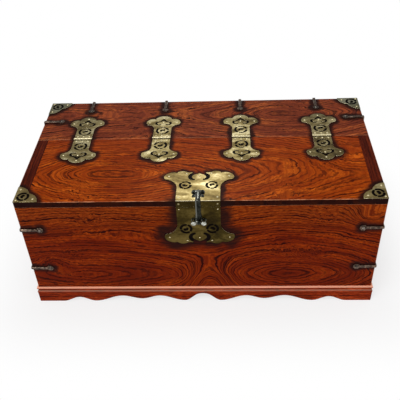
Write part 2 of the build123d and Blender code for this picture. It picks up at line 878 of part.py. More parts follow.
def hasp_mount():
    """Scalloped iron mount on the lock plate, notched for the hasp, with two pin lugs."""
    width = hasp_mount_half_width
    front = hasp_mount_front
    back = hasp_mount_back
    middle = (front + back) / 2
    face = mirrored_face(
        (width - 1.0, front),
        [
            ((width, front + 3.0), (width - 1.8, front + 6.0)),
            ((width - 3.2, front + 9.0), (width, middle)),
            ((width + 0.8, back - 6.0), (width - 2.5, back - 1.5)),
            ((width - 7.5, back - 2.2), (0, back)),
        ],
    )
    plate = Pos(0, front_y, plate_top) * extrude(face, hasp_mount_thickness)
    notch_half = hasp_knuckle_half_width + hasp_notch_side_gap
    notch_back = hasp_axis_y + hasp_knuckle_radius + hasp_notch_back_gap
    for side in (-1, 1):
        lug_middle = side * (notch_half + hasp_lug_width / 2)
        lug = Rot(0, 90, 0) * Cylinder(hasp_knuckle_radius, hasp_lug_width)
        plate = plate + Pos(lug_middle, hasp_axis_y, hasp_axis_z) * lug
    below = plate_top + hasp_axis_rise - hasp_knuckle_radius - 0.2
    low = (-notch_half, front_y, below)
    plate = plate - box_between(low, (notch_half, notch_back, plate_top + 4 * hasp_mount_thickness))
    seat = (-width * 2, front_y, plate_top - hasp_knuckle_radius)
    plate = plate - box_between(seat, (width * 2, front_y + 2 * back, plate_top))
    pin_hole = Rot(0, 90, 0) * Cylinder(hasp_pin_radius + pin_clearance, 4 * width)
    plate = plate - Pos(0, hasp_axis_y, hasp_axis_z) * pin_hole
    return cut_holes(plate, hasp_mount_nails())


def hasp_pin():
    """Pin through the mount's lugs and the hasp's knuckle."""
    half_length = hasp_knuckle_half_width + hasp_notch_side_gap + hasp_lug_width + pin_end_gap
    pin = headed_pin(hasp_pin_radius, half_length, hasp_pin_head_radius, hasp_pin_head_length)
    return Pos(0, hasp_axis_y, hasp_axis_z) * pin


# --- End handles -------------------------------------------------------------------------------
# Made on the right end, in axes where x is out of the end board, y along it and z up.
def handle_rose():
    """Lobed brass rose under one handle eye, on z = 0."""
    flower = Circle(rose_radius - rose_lobe_radius * 0.6)
    circle = rose_radius - rose_lobe_radius
    for index in range(rose_lobes):
        angle = radians(360 / rose_lobes * index)
        flower = flower + Pos(circle * cos(angle), circle * sin(angle)) * Circle(rose_lobe_radius)
    flower = flower - Circle(post_shank_radius + nail_clearance)
    return sheet_plate(flower)


def handle_eye():
    """Eye bolt through the end board: ring, neck, shank and clenched end, along z."""
    collar = turned(
        (0, handle_standoff - eye_ring_radius * 0.5),
        [
            ((eye_neck_radius, handle_standoff - eye_ring_radius * 0.5),),
            ((eye_neck_radius + 1.4, plate_thickness),),
            ((post_shank_radius, plate_thickness),),
            ((post_shank_radius, post_back),),
            ((post_clench_radius, post_back),),
            ((post_clench_radius, post_back - post_clench_thickness),),
            ((0, post_back - post_clench_thickness),),
        ],
    )
    ring = Cylinder(eye_ring_radius, 2 * eye_ring_half_width)
    hole = Cylinder(handle_bar_radius + handle_eye_clearance, 4 * eye_ring_radius)
    across = Pos(0, 0, handle_standoff) * Rot(90, 0, 0)
    return collar + across * ring - across * hole


def handle_bail():
    """Swinging bail in the plane of its two eyes, hanging down."""
    outer = handle_half_span + handle_end_overhang
    arm = handle_half_span - handle_arm_inset
    path = FilletPolyline(
        (-outer, 0),
        (-arm, 0),
        (-arm, -handle_drop),
        (arm, -handle_drop),
        (arm, 0),
        (outer, 0),
        radius=[
            handle_elbow_radius,
            handle_corner_radius,
            handle_corner_radius,
            handle_elbow_radius,
        ],
    )
    section = Plane(origin=(-outer, 0, 0), z_dir=(1, 0, 0)) * Circle(handle_bar_radius)
    bail = sweep(section, path=path)
    circles = bail.edges().filter_by(GeomType.CIRCLE)
    ends = [edge for edge in circles if abs(edge.center().X) > outer - 0.01]
    return chamfer(ends, handle_bar_radius * 0.4)


# --- Assembly ----------------------------------------------------------------------------------
def build_nodes():
    nodes = {}
    straps = strap_places()
    strap_nail_places = [spot for place in straps.values() for spot in strap_nails_at(place)]

    walls = carcase_walls()
    plinth_parts = plinth()

    post_hole = Cylinder(post_shank_radius + nail_clearance, 4 * board_thickness)
    eye_places = {}
    for name, side in sides.items():
        eye_places[name] = [
            outward(side * half_width, y, handle_height, name)
            for y in (-handle_half_span, handle_half_span)
        ]
        board = f"{name}_side_board"
        for place in eye_places[name]:
            walls[board] = walls[board] - place * post_hole
        place = outward(side * post_spacing / 2, front_y, post_height, "front")
        walls["front_board"] = walls["front_board"] - place * post_hole

    walls["front_board"] = cut_holes(walls["front_board"], lock_front_nails())
    walls = {name: cut_holes(board, strap_nail_places) for name, board in walls.items()}
    nodes.update(walls)
    nodes["bottom_board"] = bottom_panel(-bottom_clearance)

    rear_top = box_between(
        (-half_width, seam_y + seam_gap / 2, wall_top), (half_width, back_y, chest_height)
    )
    rear_top = rear_top - barrel_grooves()
    rear_nails = rear_hinge_nails() + corner_nails(1)
    rear_top = cut_holes(rear_top, rear_nails)
    nodes["rear_top_board"] = cut_holes(rear_top, strap_nail_places)

    nodes.update(plinth_parts)
    nodes["plinth_corner_blocks"] = plinth_corner_blocks()

    # Lid: a panel tongued into two end cleats.
    lid_nails = lid_hinge_nails() + corner_nails(-1) + lock_top_nails()
    lid_back = seam_y - seam_gap / 2
    panel_half = half_width - cleat_width
    middle_height = wall_top + top_thickness / 2
    panel = box_between((-panel_half, front_y, wall_top), (panel_half, lid_back, chest_height))
    tongue_reach = panel_half + cleat_tongue_length
    half_tongue = cleat_tongue_thickness / 2
    tongue = box_between(
        (-tongue_reach, front_y + cleat_tongue_length, middle_height - half_tongue),
        (tongue_reach, lid_back - cleat_tongue_length, middle_height + half_tongue),
    )
    panel = panel + tongue - barrel_grooves()
    panel = cut_holes(panel, lid_nails + hasp_mount_nails())
    nodes["lid_panel"] = cut_holes(panel, wrap_nails(), edge_nail_hole)
    for name, side in sides.items():
        near, far = sorted((side * panel_half, side * half_width))
        cleat = box_between((near, front_y, wall_top), (far, lid_back, chest_height))
        cleat = cleat - tongue
        nodes[f"lid_cleat_{name}"] = cut_holes(cleat, corner_nails(-1))

    # Hinges: a leaf on the lid, a leaf on the rear board and a pin.
    rear_leaf = hinge_leaf(0)
    lid_leaf = Rot(0, 0, 180) * hinge_leaf(1)
    for index, x in enumerate(hinge_places):
        place = Pos(x, seam_y, chest_height)
        nodes[f"hinge_{index + 1}_rear_leaf"] = place * rear_leaf
        nodes[f"hinge_{index + 1}_lid_leaf"] = place * lid_leaf
        nodes[f"hinge_{index + 1}_pin"] = place * hinge_pin()

    # Corner plates.
    corner_face = corner_plate_face()
    corner_plate = sheet_plate(corner_face)
    for u, v in corner_nail_places:
        corner_plate = corner_plate - Pos(u, v, plate_thickness) * plate_nail_hole
    mirrored_plate = mirror(corner_plate, about=Plane.YZ)
    nodes["corner_plate_front_left"] = Pos(-half_width, front_y, chest_height) * corner_plate
    nodes["corner_plate_front_right"] = Pos(half_width, front_y, chest_height) * mirrored_plate
    back_left = Rot(0, 0, 180) * mirrored_plate
    back_right = Rot(0, 0, 180) * corner_plate
    nodes["corner_plate_rear_left"] = Pos(-half_width, back_y, chest_height) * back_left
    nodes["corner_plate_rear_right"] = Pos(half_width, back_y, chest_height) * back_right

    # Lock.
    nodes["lock_plate_lid"] = lock_top_plate()
    nodes["lock_plate_front"] = lock_front_plate()
    for name, side in sides.items():
        nodes[f"lock_post_{name}"] = lock_post(side)
    nodes["hasp_mount"] = hasp_mount()
    nodes["hasp_pin"] = hasp_pin()
    nodes["hasp"] = hasp()

    # Straps.
    strap_solid = strap()
    for name, place in straps.items():
        nodes[name] = place * strap_solid

    # Handles at the two ends.
    for name, side in sides.items():
        places = eye_places[name]
        nodes[f"handle_roses_{name}"] = [place * handle_rose() for place in places]
        nodes[f"handle_eyes_{name}"] = [place * handle_eye() for place in places]
        upright = Plane(
            origin=(side * (half_width + handle_standoff), 0, handle_height),
            x_dir=(0, 1, 0),
            z_dir=(1, 0, 0),
        )
        nodes[f"handle_bail_{name}"] = upright * handle_bail()

    # Nails.
    nodes["lid_nails"] = nail_group(lid_nails) + nail_group(wrap_nails(), edge_nail)
    nodes["hasp_mount_nails"] = nail_group(hasp_mount_nails())
    nodes["rear_top_nails"] = nail_group(rear_nails)
    nodes["lock_plate_front_nails"] = nail_group(lock_front_nails())
    nodes["strap_nails"] = nail_group(strap_nail_places, strap_nail)
    return nodes


def write_nodes(nodes):
    os.makedirs("parts", exist_ok=True)
    for name, shape in nodes.items():
        solids = []
        for piece in shape if isinstance(shape, list) else [shape]:
            solids.extend((Pos(0, origin_shift, 0) * piece).solids())
        whole = Compound(children=solids) if len(solids) > 1 else solids[0]
        whole.label = name
        export_step(whole, f"parts/{name}.step")


write_nodes(build_nodes())
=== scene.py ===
import bmesh
import bpy
import json
from functools import cache
from math import cos, exp, hypot, pi, radians, sin, sqrt
from mathutils import Matrix, Vector
from mathutils.bvhtree import BVHTree


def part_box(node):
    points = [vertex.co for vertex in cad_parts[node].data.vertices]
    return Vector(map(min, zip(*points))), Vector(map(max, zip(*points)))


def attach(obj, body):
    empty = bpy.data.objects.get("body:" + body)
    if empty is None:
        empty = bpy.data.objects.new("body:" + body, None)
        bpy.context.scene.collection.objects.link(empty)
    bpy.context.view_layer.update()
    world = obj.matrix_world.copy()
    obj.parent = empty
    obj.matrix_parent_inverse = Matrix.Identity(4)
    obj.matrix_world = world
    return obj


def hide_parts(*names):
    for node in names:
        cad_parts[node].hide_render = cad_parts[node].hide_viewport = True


# Low coin chest in lacquered elm with aged brass and forged iron fittings.
# Metres, in the chest's own frame: +X to its right, -Y its front, +Z up, z = 0 the floor.
# Sizes written as N * MM are millimetres.
MM = 0.001

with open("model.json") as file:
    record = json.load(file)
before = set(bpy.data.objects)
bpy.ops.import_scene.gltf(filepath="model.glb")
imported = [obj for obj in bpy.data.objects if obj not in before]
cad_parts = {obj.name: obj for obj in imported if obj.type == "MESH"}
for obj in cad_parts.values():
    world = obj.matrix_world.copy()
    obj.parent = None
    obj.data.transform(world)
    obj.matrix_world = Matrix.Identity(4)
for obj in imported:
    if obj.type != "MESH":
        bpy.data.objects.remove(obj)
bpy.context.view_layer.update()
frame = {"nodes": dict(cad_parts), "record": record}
nodes = frame["nodes"]
record = frame["record"]
body_of_node = {
    node: body for body, members in record["behaviour"]["bodies"].items() for node in members
}
slot_of_node = {part["node"]: part["material_slot"] for part in record["subparts"]}
pin_low, pin_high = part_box("hinge_1_pin")
hinge_axis = (pin_low + pin_high) / 2

# --- Sizes of the finish ---
arris_radius = 1.4 * MM          # hand-planed rounding of the boards' outer edges
arris_steps = 4
mitre_start = 0.293              # share of an arris's radius at which it meets a 45-degree mitre
board_grid = 4.0 * MM            # spacing of a board's own points
thickness_steps = 4              # and the steps through its thickness
arris_wear_and_highlight_reach = 0.98 * arris_radius  # how far from an edge its arris is painted pale: partly wear, partly a painted highlight
least_radius = 0.05 * MM         # of an arris where it meets two others
board_crease = radians(38)       # a board's edges sharper than this aren't shaded round
faint_arris_wear_and_highlight = 0.45                 # share of pale on the arrises that are hardly rubbed: partly wear, partly a painted highlight
sheet_bevel = 0.6 * MM           # filed edge of the sheet brass
sheet_height = 4.0 * MM          # a flat plate is lower than this
forged_bevel = 1.1 * MM          # hammered edge of the hasp
strap_bevel = 1.4 * MM           # hammered edge of the straps
post_bevel = 0.4 * MM
plinth_bevel = 0.9 * MM
bevel_angle = radians(40)        # edges sharper than this are eased
barrel_radius = 2.8 * MM         # part of a hinge leaf worn to a polish and painted pale, partly a painted highlight, about the hinge axis
stain_and_shadow_reach = 18.0 * MM          # how far the dark stain, partly painted shadow, spreads round the fittings
front_stain_and_shadow_reach = 40.0 * MM    # and round the front lock plate, where it spreads farther
stain_and_shadow_edge = 0.85                # its darkness at a fitting's edge
stain_and_shadow_fall = 1.6                 # power of the distance by which it fades
covered_reach = 120.0 * MM       # the widest stretch of a plate, under which all is black with wax
piercing_reach = 18.0 * MM       # the widest stretch of a piercing
hinge_piercing = 10.0 * MM       # the same for the sides of the piercings in each kind of plate
plate_piercing = 12.0 * MM
wax_reach = 1.7 * MM             # how far the wax of a piercing creeps over the brass
wax_grid = 1.2 * MM              # spacing of a plate's points there
wax_passes = 6
plate_back = 0.1 * MM            # sides this near to a plate's back aren't waxed
ray_start = 0.05 * MM            # rays along a plate start this far from their face
outline_step = 0.5 * MM          # least spacing of the points of a fitting's outline
merge_step = 0.001 * MM          # points nearer than this are one
brass_nail = (2.5 * MM, 1.4 * MM)  # radius and height of a nail's head
strap_nail = (4.0 * MM, 2.6 * MM)
shank_radius = 0.85 * MM
short_shank = 8.5 * MM           # of the lid's nails
long_shank = 11.5 * MM
nail_crease = radians(50)


# --- Colours ---
def linear(hex_colour):
    """sRGB hex such as 'a0522d' as a linear colour with alpha."""
    values = [int(hex_colour[index:index + 2], 16) / 255 for index in (0, 2, 4)]
    return tuple(v / 12.92 if v <= 0.04045 else ((v + 0.055) / 1.055) ** 2.4 for v in values) + (1.0,)


# --- Node trees ---
MATH = "ShaderNodeMath"
VECTOR = "ShaderNodeVectorMath"
RANGE = "ShaderNodeMapRange"
NOISE = "ShaderNodeTexNoise"
RAMP = "ShaderNodeValToRGB"
MIX = "ShaderNodeMix"
SPLIT = "ShaderNodeSeparateXYZ"
JOIN = "ShaderNodeCombineXYZ"
PLACE = "ShaderNodeTexCoord"


def add(tree, kind, inputs=None, operation=None, stops=(), **settings):
    """A new node of a tree, with its settings and links.

    inputs maps a socket's name or number to a number, a hex colour, a socket, or a node whose
    first output in use is linked. stops are a colour ramp's (position, hex colour) pairs.
    """
    node = tree.nodes.new(kind)
    if operation:
        node.operation = operation
    for name, value in settings.items():
        setattr(node, name, value)
    for key, value in (inputs or {}).items():
        socket = node.inputs[key]
        if isinstance(key, str):
            socket = next(found for found in node.inputs if found.enabled and found.name == key)
        if isinstance(value, bpy.types.Node):
            value = next(found for found in value.outputs if found.enabled)
        if isinstance(value, bpy.types.NodeSocket):
            tree.links.new(value, socket)
        elif isinstance(value, str) and socket.type == "RGBA":
            socket.default_value = linear(value)
        else:
            socket.default_value = value
    for index, (position, colour) in enumerate(stops):
        elements = node.color_ramp.elements
        element = elements[index] if index < 2 else elements.new(1.0)
        element.position = position
        element.color = linear(colour)
    return node


def new_material(name):
    """A material with its node tree emptied, and that tree."""
    material = bpy.data.materials.new(name)
    material.use_nodes = True
    material.node_tree.nodes.clear()
    return material, material.node_tree


def place_over(tree, sizes, place=None):
    """A place over a cell's size in each direction, in millimetres; object coordinates if none."""
    if place is None:
        place = add(tree, PLACE).outputs["Object"]
        sizes = [size * MM for size in sizes]
    return add(tree, VECTOR, {0: place, 1: [1 / size for size in sizes]}, "MULTIPLY")


def apart_in_mm(tree):
    """The outputs X, Y and Z of the object coordinates, in millimetres."""
    return add(tree, SPLIT, {0: place_over(tree, (1.0, 1.0, 1.0))}).outputs


def facing_apart(tree):
    """The outputs X, Y and Z of the way that the surface faces."""
    return add(tree, SPLIT, {0: add(tree, PLACE).outputs["Normal"]}).outputs


def finish_surface(tree, colour, roughness, height, relief, **shader):
    """Principled surface with a bump of relief metres; the shader's own numbers go on its sockets."""
    bump = add(tree, "ShaderNodeBump", {"Strength": 1.0, "Distance": relief, "Height": height})
    inputs = {"Base Color": colour, "Roughness": roughness, "Normal": bump}
    inputs.update({name.replace("_", " "): value for name, value in shader.items()})
    surface = add(tree, "ShaderNodeBsdfPrincipled", inputs)
    add(tree, "ShaderNodeOutputMaterial", {"Surface": surface})


# --- Lacquered elm ---
# Plain-sawn elm, stained red and lacquered: dark open-pored rings that run along the board and
# swing round its figures, burled patches where they curl, short pores between them, and a
# black-brown halo round the fittings, partly stain and partly painted shadow.
def ring_lines(tree, grown, spacing, offset, profile, least):
    """Dark lines across the growth coordinate, each ring with a weight of its own."""
    place = add(tree, MATH, {0: grown, 1: 1 / (3.2 * spacing), 2: offset}, "MULTIPLY_ADD")
    uneven = add(tree, NOISE, {"W": place, "Scale": 1.0, "Detail": 1.0}, noise_dimensions="1D")
    count = add(tree, MATH, {0: grown, 1: 1 / spacing, 2: offset}, "MULTIPLY_ADD")
    count = add(tree, MATH, {0: uneven, 1: 0.9, 2: count}, "MULTIPLY_ADD")
    number = add(tree, MATH, {0: count}, "FLOOR")
    weight = add(tree, "ShaderNodeTexWhiteNoise", {"W": number}, noise_dimensions="1D").outputs["Value"]
    weight = add(tree, RANGE, {"Value": weight, "To Min": least, "To Max": 1.0})
    pulse = add(tree, RAMP, {"Fac": add(tree, MATH, {0: count}, "FRACT")}, stops=profile)
    return add(tree, MATH, {0: pulse, 1: weight}, "MULTIPLY")


def lacquered_elm(name, along, across, tones, ring=8.0, wander=5.0, burl=6.0, seed=0.0,
                  contrast=1.0, edge_tone=None, ledge=None, shade=None):
    """Elm whose grain runs along 'X', 'Y' or 'Z'; tones are its (light, mid, deep, line) colours.

    ring, wander and burl are the spacing of the rings and how far they stray, in millimetres.
    edge_tone is the colour of the dark finish on a front edge, and ledge the colour of a painted
    highlight on a ledge's upward-facing side. shade is (tone, start, full, share): another tone that
    comes in across the board; on the walls it is painted light, lighter towards their tops.
    """
    material, tree = new_material(name)
    light, mid, deep, dark_line = tones
    apart = apart_in_mm(tree)
    through = ({"X", "Y", "Z"} - {along, across}).pop()
    board = add(tree, JOIN, {0: apart[along], 1: apart[across], 2: apart[through]})
    shifted = add(tree, VECTOR, {0: board, 1: (seed * 337.0, seed * 171.0, 0.0)})
    figure, curl, calm, arris_wear_and_highlight, near = (
        add(tree, "ShaderNodeAttribute", attribute_name=attribute).outputs["Fac"]
        for attribute in ("figure", "curl", "calm", "arris_wear_and_highlight", "stain_and_shadow")
    )

    # The growth coordinate: across the board, swelled at its figures, wandering, jagged, and
    # thrown about where the wood is curled. Cells are sized along, across and through the board.
    slow, waves, jags, patches = (
        add(tree, NOISE, {"Vector": place_over(tree, cell, shifted), "Scale": 1.0, "Detail": 1.0,
                          "Roughness": rough})
        for cell, rough in (
            ((230, 66, 90), 0.4), ((46, 30, 40), 0.5), ((11, 9, 20), 0.6), ((95, 48, 60), 0.5),
        )
    )
    thrown = add(tree, RANGE, {"Value": patches, "From Min": 0.54, "From Max": 0.74, "To Min": 4.0,
                               "To Max": 4.0 + burl}, interpolation_type="SMOOTHSTEP")
    thrown = add(tree, MATH, {0: curl, 1: 3.0 * burl, 2: thrown}, "MULTIPLY_ADD")
    grown = add(tree, MATH, {0: apart[across], 1: figure})
    for strays, reach in ((slow, 2.0 * wander), (waves, 1.6 * wander), (jags, thrown)):
        grown = add(tree, MATH, {0: strays, 1: reach, 2: grown}, "MULTIPLY_ADD")

    # Fine rings and, every third or so, a bold one.
    fine_lines = ring_lines(tree, grown, ring, seed, [
        (0.0, "000000"), (0.07, "ffffff"), (0.24, "ffffff"), (0.36, "4c4c4c"), (0.62, "000000"),
    ], 0.55)
    bold_lines = ring_lines(tree, grown, 3.3 * ring, seed + 5.5, [
        (0.0, "000000"), (0.03, "ffffff"), (0.11, "ffffff"), (0.17, "000000"),
    ], 0.2)

    # Dashes, pores, bands of tone and dark flecks follow the rings.
    run = add(tree, JOIN, {0: apart[along], 1: grown, 2: apart[through]})
    dashes, pores, bands, flecks = (
        add(tree, NOISE, {"Vector": place_over(tree, cell, run), "Scale": 1.0, "Detail": detail,
                          "Roughness": rough})
        for cell, detail, rough in (
            ((30, 6, 12), 2.0, 0.6), ((12, 2.6, 6), 2.0, 0.65), ((120, 16, 30), 2.0, 0.5),
            ((34, 9, 20), 1.0, 0.5),
        )
    )
    broken = add(tree, RANGE, {"Value": dashes, "From Min": 0.36, "From Max": 0.56, "To Min": 0.35,
                               "To Max": 1.25})
    rested = add(tree, RANGE, {"Value": calm, "To Min": contrast, "To Max": 0.45 * contrast})
    spindles = add(tree, RANGE, {"Value": flecks, "From Min": 0.69, "From Max": 0.74,
                                 "To Max": 0.7 * contrast})
    lines = add(tree, MATH, {0: fine_lines, 1: bold_lines}, "MAXIMUM")
    lines = add(tree, MATH, {0: lines, 1: broken}, "MULTIPLY")
    lines = add(tree, MATH, {0: lines, 1: rested}, "MULTIPLY", use_clamp=True)
    lines = add(tree, MATH, {0: lines, 1: spindles}, "MAXIMUM")
    pore_shade = add(tree, RANGE, {"Value": pores, "From Min": 0.60, "From Max": 0.40,
                                   "To Max": 0.8 * contrast})

    # The stain round the fittings, partly painted shadow, ragged at its edge, and the black under them.
    ragged = add(tree, MATH, {0: waves, 1: 0.9, 2: near}, "MULTIPLY_ADD")
    ragged = add(tree, MATH, {0: bands, 1: 0.5, 2: ragged}, "MULTIPLY_ADD")
    stain_and_shadow_halo = add(tree, RANGE, {"Value": ragged, "From Min": 0.85, "From Max": 1.50, "To Max": 0.93},
               interpolation_type="SMOOTHSTEP")
    darkened_near = add(tree, MATH, {0: near, 1: 0.0}, "GREATER_THAN")
    stain_and_shadow_halo = add(tree, MATH, {0: stain_and_shadow_halo, 1: darkened_near}, "MULTIPLY")
    under = add(tree, RANGE, {"Value": near, "From Min": 0.90, "From Max": 0.95, "To Max": 0.97})

    # The arrises are painted pale in patches: partly wear, partly a painted highlight.
    patchy = add(tree, RANGE, {"Value": dashes, "From Min": 0.35, "From Max": 0.6, "To Min": 0.25})
    lit_and_worn_arris = add(tree, MATH, {0: arris_wear_and_highlight, 1: patchy}, "MULTIPLY")

    layers = [(pore_shade, deep), (lines, dark_line)]
    facing = facing_apart(tree)
    # A tone across the board: on the lid redder towards the hinges; on the walls painted light, lighter
    # towards their tops.
    if shade:
        tone, start, full, share = shade
        shaded = add(tree, RANGE, {"Value": apart[across], "From Min": start, "From Max": full,
                                   "To Max": share}, interpolation_type="SMOOTHSTEP")
        layers.insert(0, (shaded, tone))
    if edge_tone:
        front = add(tree, RANGE, {"Value": facing["Y"], "From Min": -0.70, "From Max": -0.95,
                                  "To Max": 0.95})
        layers.append((front, edge_tone))
    if ledge:
        # Painted highlight: the ledge's upward-facing side is painted pale, and the bead below it a
        # little.
        lit_upper_side = add(tree, RANGE, {"Value": facing["Z"], "From Min": 0.25, "From Max": 0.80})
        height = add(tree, RANGE, {"Value": apart["Z"], "From Min": 41.0, "From Max": 47.0,
                                   "To Min": 0.28, "To Max": 0.92})
        lit_upper_side = add(tree, MATH, {0: lit_upper_side, 1: height}, "MULTIPLY")
        layers.append((lit_upper_side, ledge))
    # The pale arrises are partly wear and partly a painted highlight; the halo is partly stain and
    # partly painted shadow.
    layers += [(lit_and_worn_arris, "cc8a64"), (stain_and_shadow_halo, "1d0a08"), (under, "060201")]
    wood = add(tree, RAMP, {"Fac": bands}, stops=[(0.30, deep), (0.50, mid), (0.70, light)])
    for share, tone in layers:
        wood = add(tree, MIX, {"Factor": share, "A": wood, "B": tone}, data_type="RGBA")

    roughness = add(tree, RANGE, {"Value": pores, "From Min": 0.3, "From Max": 0.7, "To Min": 0.40,
                                  "To Max": 0.27})
    relief = add(tree, MATH, {0: pores, 1: lines}, "SUBTRACT")
    finish_surface(tree, wood, roughness, relief, 0.05 * MM, Specular_IOR_Level=0.03)
    return material


def bare_pine():
    """Bare, dry pine inside the chest: yellowed and dull, with broad pale rings."""
    material, tree = new_material("bare_pine")
    bands = add(tree, NOISE, {"Vector": place_over(tree, (150, 11, 11)), "Scale": 1.0, "Detail": 3.0,
                              "Distortion": 0.6})
    waves = add(tree, MATH, {0: bands, 1: 34.0}, "MULTIPLY")
    waves = add(tree, MATH, {0: waves}, "SINE")
    rings = add(tree, RANGE, {"Value": waves, "From Min": -1.0})
    colour = add(tree, RAMP, {"Fac": rings}, stops=[(0.0, "8a6238"), (0.5, "a87c4c"), (1.0, "b98d5c")])
    finish_surface(tree, colour, 0.78, rings, 0.06 * MM, Specular_IOR_Level=0.25)
    return material


# --- Brass ---
# Aged sheet brass, hammered flat and handled for years: pale gold where hands rub it, olive where
# it has tarnished, painted dark on its upright faces as painted shade, grey at the back corners,
# painted bright along its folds as a painted highlight, black with wax round its piercings, and
# black at the foot of the hinge barrels with painted shadow and dirt.
def sheet_brass():
    material, tree = new_material("aged_sheet_brass")
    broad = add(tree, NOISE, {"Vector": place_over(tree, (60, 34, 34)), "Scale": 1.0, "Detail": 3.0,
                              "Distortion": 0.8})
    small = add(tree, NOISE, {"Vector": place_over(tree, (7, 7, 7)), "Scale": 1.0, "Detail": 3.0,
                              "Roughness": 0.6})
    mottle = add(tree, MATH, {0: small, 1: 0.3, 2: broad}, "MULTIPLY_ADD")
    top = add(tree, RAMP, {"Fac": mottle}, stops=[
        (0.42, "43381f"), (0.56, "75653b"), (0.70, "a49463"), (0.84, "dccfa0"),
    ])
    # The front tones are painted shade for the upright faces; the back tones are grey for the back
    # corners.
    front, back = (
        add(tree, RAMP, {"Fac": mottle}, stops=list(zip((0.42, 0.62, 0.85), tones)))
        for tones in (("251c08", "3f3312", "66562c"), ("504e39", "78755a", "a3a086"))
    )
    facing, apart = facing_apart(tree), apart_in_mm(tree)

    # Handled along the lid's front, dull towards the sides, and grey at the back corners.
    handled = add(tree, RANGE, {"Value": apart["Y"], "From Min": -95.0, "From Max": -125.0,
                                "To Max": 0.20})
    aside = add(tree, MATH, {0: apart["X"]}, "ABSOLUTE")
    aside = add(tree, RANGE, {"Value": aside, "From Min": 180.0, "From Max": 280.0, "To Max": 0.16})
    rear = add(tree, RANGE, {"Value": apart["Y"], "From Min": 120.0, "From Max": 200.0})
    # Painted shade: upright faces take the darker front tones.
    upright = add(tree, RANGE, {"Value": facing["Z"], "From Min": 0.55, "From Max": 0.10})
    # Painted highlight: faces that turn over a fold are painted bright.
    turned = add(tree, RANGE, {"Value": facing["Z"], "From Min": 0.96, "From Max": 0.88})
    still_up = add(tree, RANGE, {"Value": facing["Z"], "From Min": 0.30, "From Max": 0.55})
    fold_highlight = add(tree, MATH, {0: turned, 1: still_up}, "MULTIPLY")
    # The foot of a barrel lies on the lid's side of the hinge axis.
    barrel_foot = hinge_axis.y / MM - 4.6
    beyond = add(tree, MATH, {0: apart["Y"], 1: barrel_foot}, "SUBTRACT")
    beyond = add(tree, MATH, {0: beyond}, "ABSOLUTE")
    # Painted shadow of the barrel on its leaf, with dirt: black along the barrel's foot.
    barrel_shadow_and_dirt = add(tree, RANGE, {"Value": beyond, "From Min": 3.2, "From Max": 1.6, "To Max": 0.95})
    soiled = add(tree, "ShaderNodeAttribute", attribute_name="wax").outputs["Fac"]
    soiled = add(tree, MATH, {0: small, 1: 0.5, 2: soiled}, "MULTIPLY_ADD")
    soiled = add(tree, RANGE, {"Value": soiled, "From Min": 0.50, "From Max": 0.80, "To Max": 0.97})

    colour = top
    for share, tone in (
        (handled, "dcbe78"), (aside, "3c3324"), (rear, back), (upright, front), (fold_highlight, "f2e4bc"),
        (barrel_shadow_and_dirt, "0c0804"), (soiled, "0a0704"),
    ):
        colour = add(tree, MIX, {"Factor": share, "A": colour, "B": tone}, data_type="RGBA")
    roughness = add(tree, RANGE, {"Value": mottle, "From Min": 0.4, "From Max": 0.85, "To Min": 0.50,
                                  "To Max": 0.34})
    finish_surface(tree, colour, roughness, small, 0.02 * MM, Metallic=1.0)
    return material


def black_wax():
    """Old wax and dirt, black and dull in the piercings of the brass."""
    material, tree = new_material("black_wax")
    dirt = add(tree, NOISE, {"Vector": place_over(tree, (3, 3, 3)), "Scale": 1.0})
    colour = add(tree, RAMP, {"Fac": dirt}, stops=[(0.3, "070402"), (0.7, "140d07")])
    finish_surface(tree, colour, 0.7, dirt, 0.05 * MM, Specular_IOR_Level=0.1)
    return material


def worn_brass_painted_light():
    """Brass of the nail heads and hinge barrels: worn to a polish and painted pale, partly a painted
    highlight, and painted dull on the lid's front as painted shade.
    """
    material, tree = new_material("worn_brass_painted_light")
    small = add(tree, NOISE, {"Vector": place_over(tree, (2.5, 2.5, 2.5)), "Scale": 1.0})
    # Pale crowns: partly polish, partly a painted highlight.
    crown = add(tree, RAMP, {"Fac": small}, stops=[(0.35, "d8c78e"), (0.65, "fdf3cc")])
    # Painted shade: the nails on the lid's front are painted dull.
    front = add(tree, RANGE, {"Value": apart_in_mm(tree)["Y"], "From Min": -222.0,
                              "From Max": -224.0, "To Max": 0.8})
    colour = add(tree, MIX, {"Factor": front, "A": crown, "B": "6e6036"}, data_type="RGBA")
    roughness = add(tree, RANGE, {"Value": small, "To Min": 0.42, "To Max": 0.26})
    finish_surface(tree, colour, roughness, small, 0.03 * MM, Metallic=0.6)
    return material


# --- Forged iron ---
# Forged iron: near-black and oiled on the hasp, with pale edges that are partly wear and partly a
# painted highlight; grey-brown on the straps, whose eased edges are painted dark as painted shade;
# and painted pale on the lock posts as a painted highlight.
def forged_iron(name, tones, smooth, second=None, stretches=()):
    """Iron in (dark, middle, bright) tones, its least roughness smooth.

    second is another tone, laid over stretches (axis, start, full, share), in millimetres.
    """
    material, tree = new_material(name)
    hammer = add(tree, NOISE, {"Vector": place_over(tree, (6, 6, 6)), "Scale": 1.0})
    colour = add(tree, RAMP, {"Fac": hammer}, stops=list(zip((0.35, 0.52, 0.72), tones)))
    for axis, start, full, share in stretches:
        laid = add(tree, RANGE, {"Value": apart_in_mm(tree)[axis], "From Min": start,
                                 "From Max": full, "To Max": share})
        colour = add(tree, MIX, {"Factor": laid, "A": colour, "B": second}, data_type="RGBA")
    roughness = add(tree, RANGE, {"Value": hammer, "From Min": 0.3, "From Max": 0.7,
                                  "To Min": smooth + 0.10, "To Max": smooth})
    finish_surface(tree, colour, roughness, hammer, 0.025 * MM, Metallic=1.0)
    return material


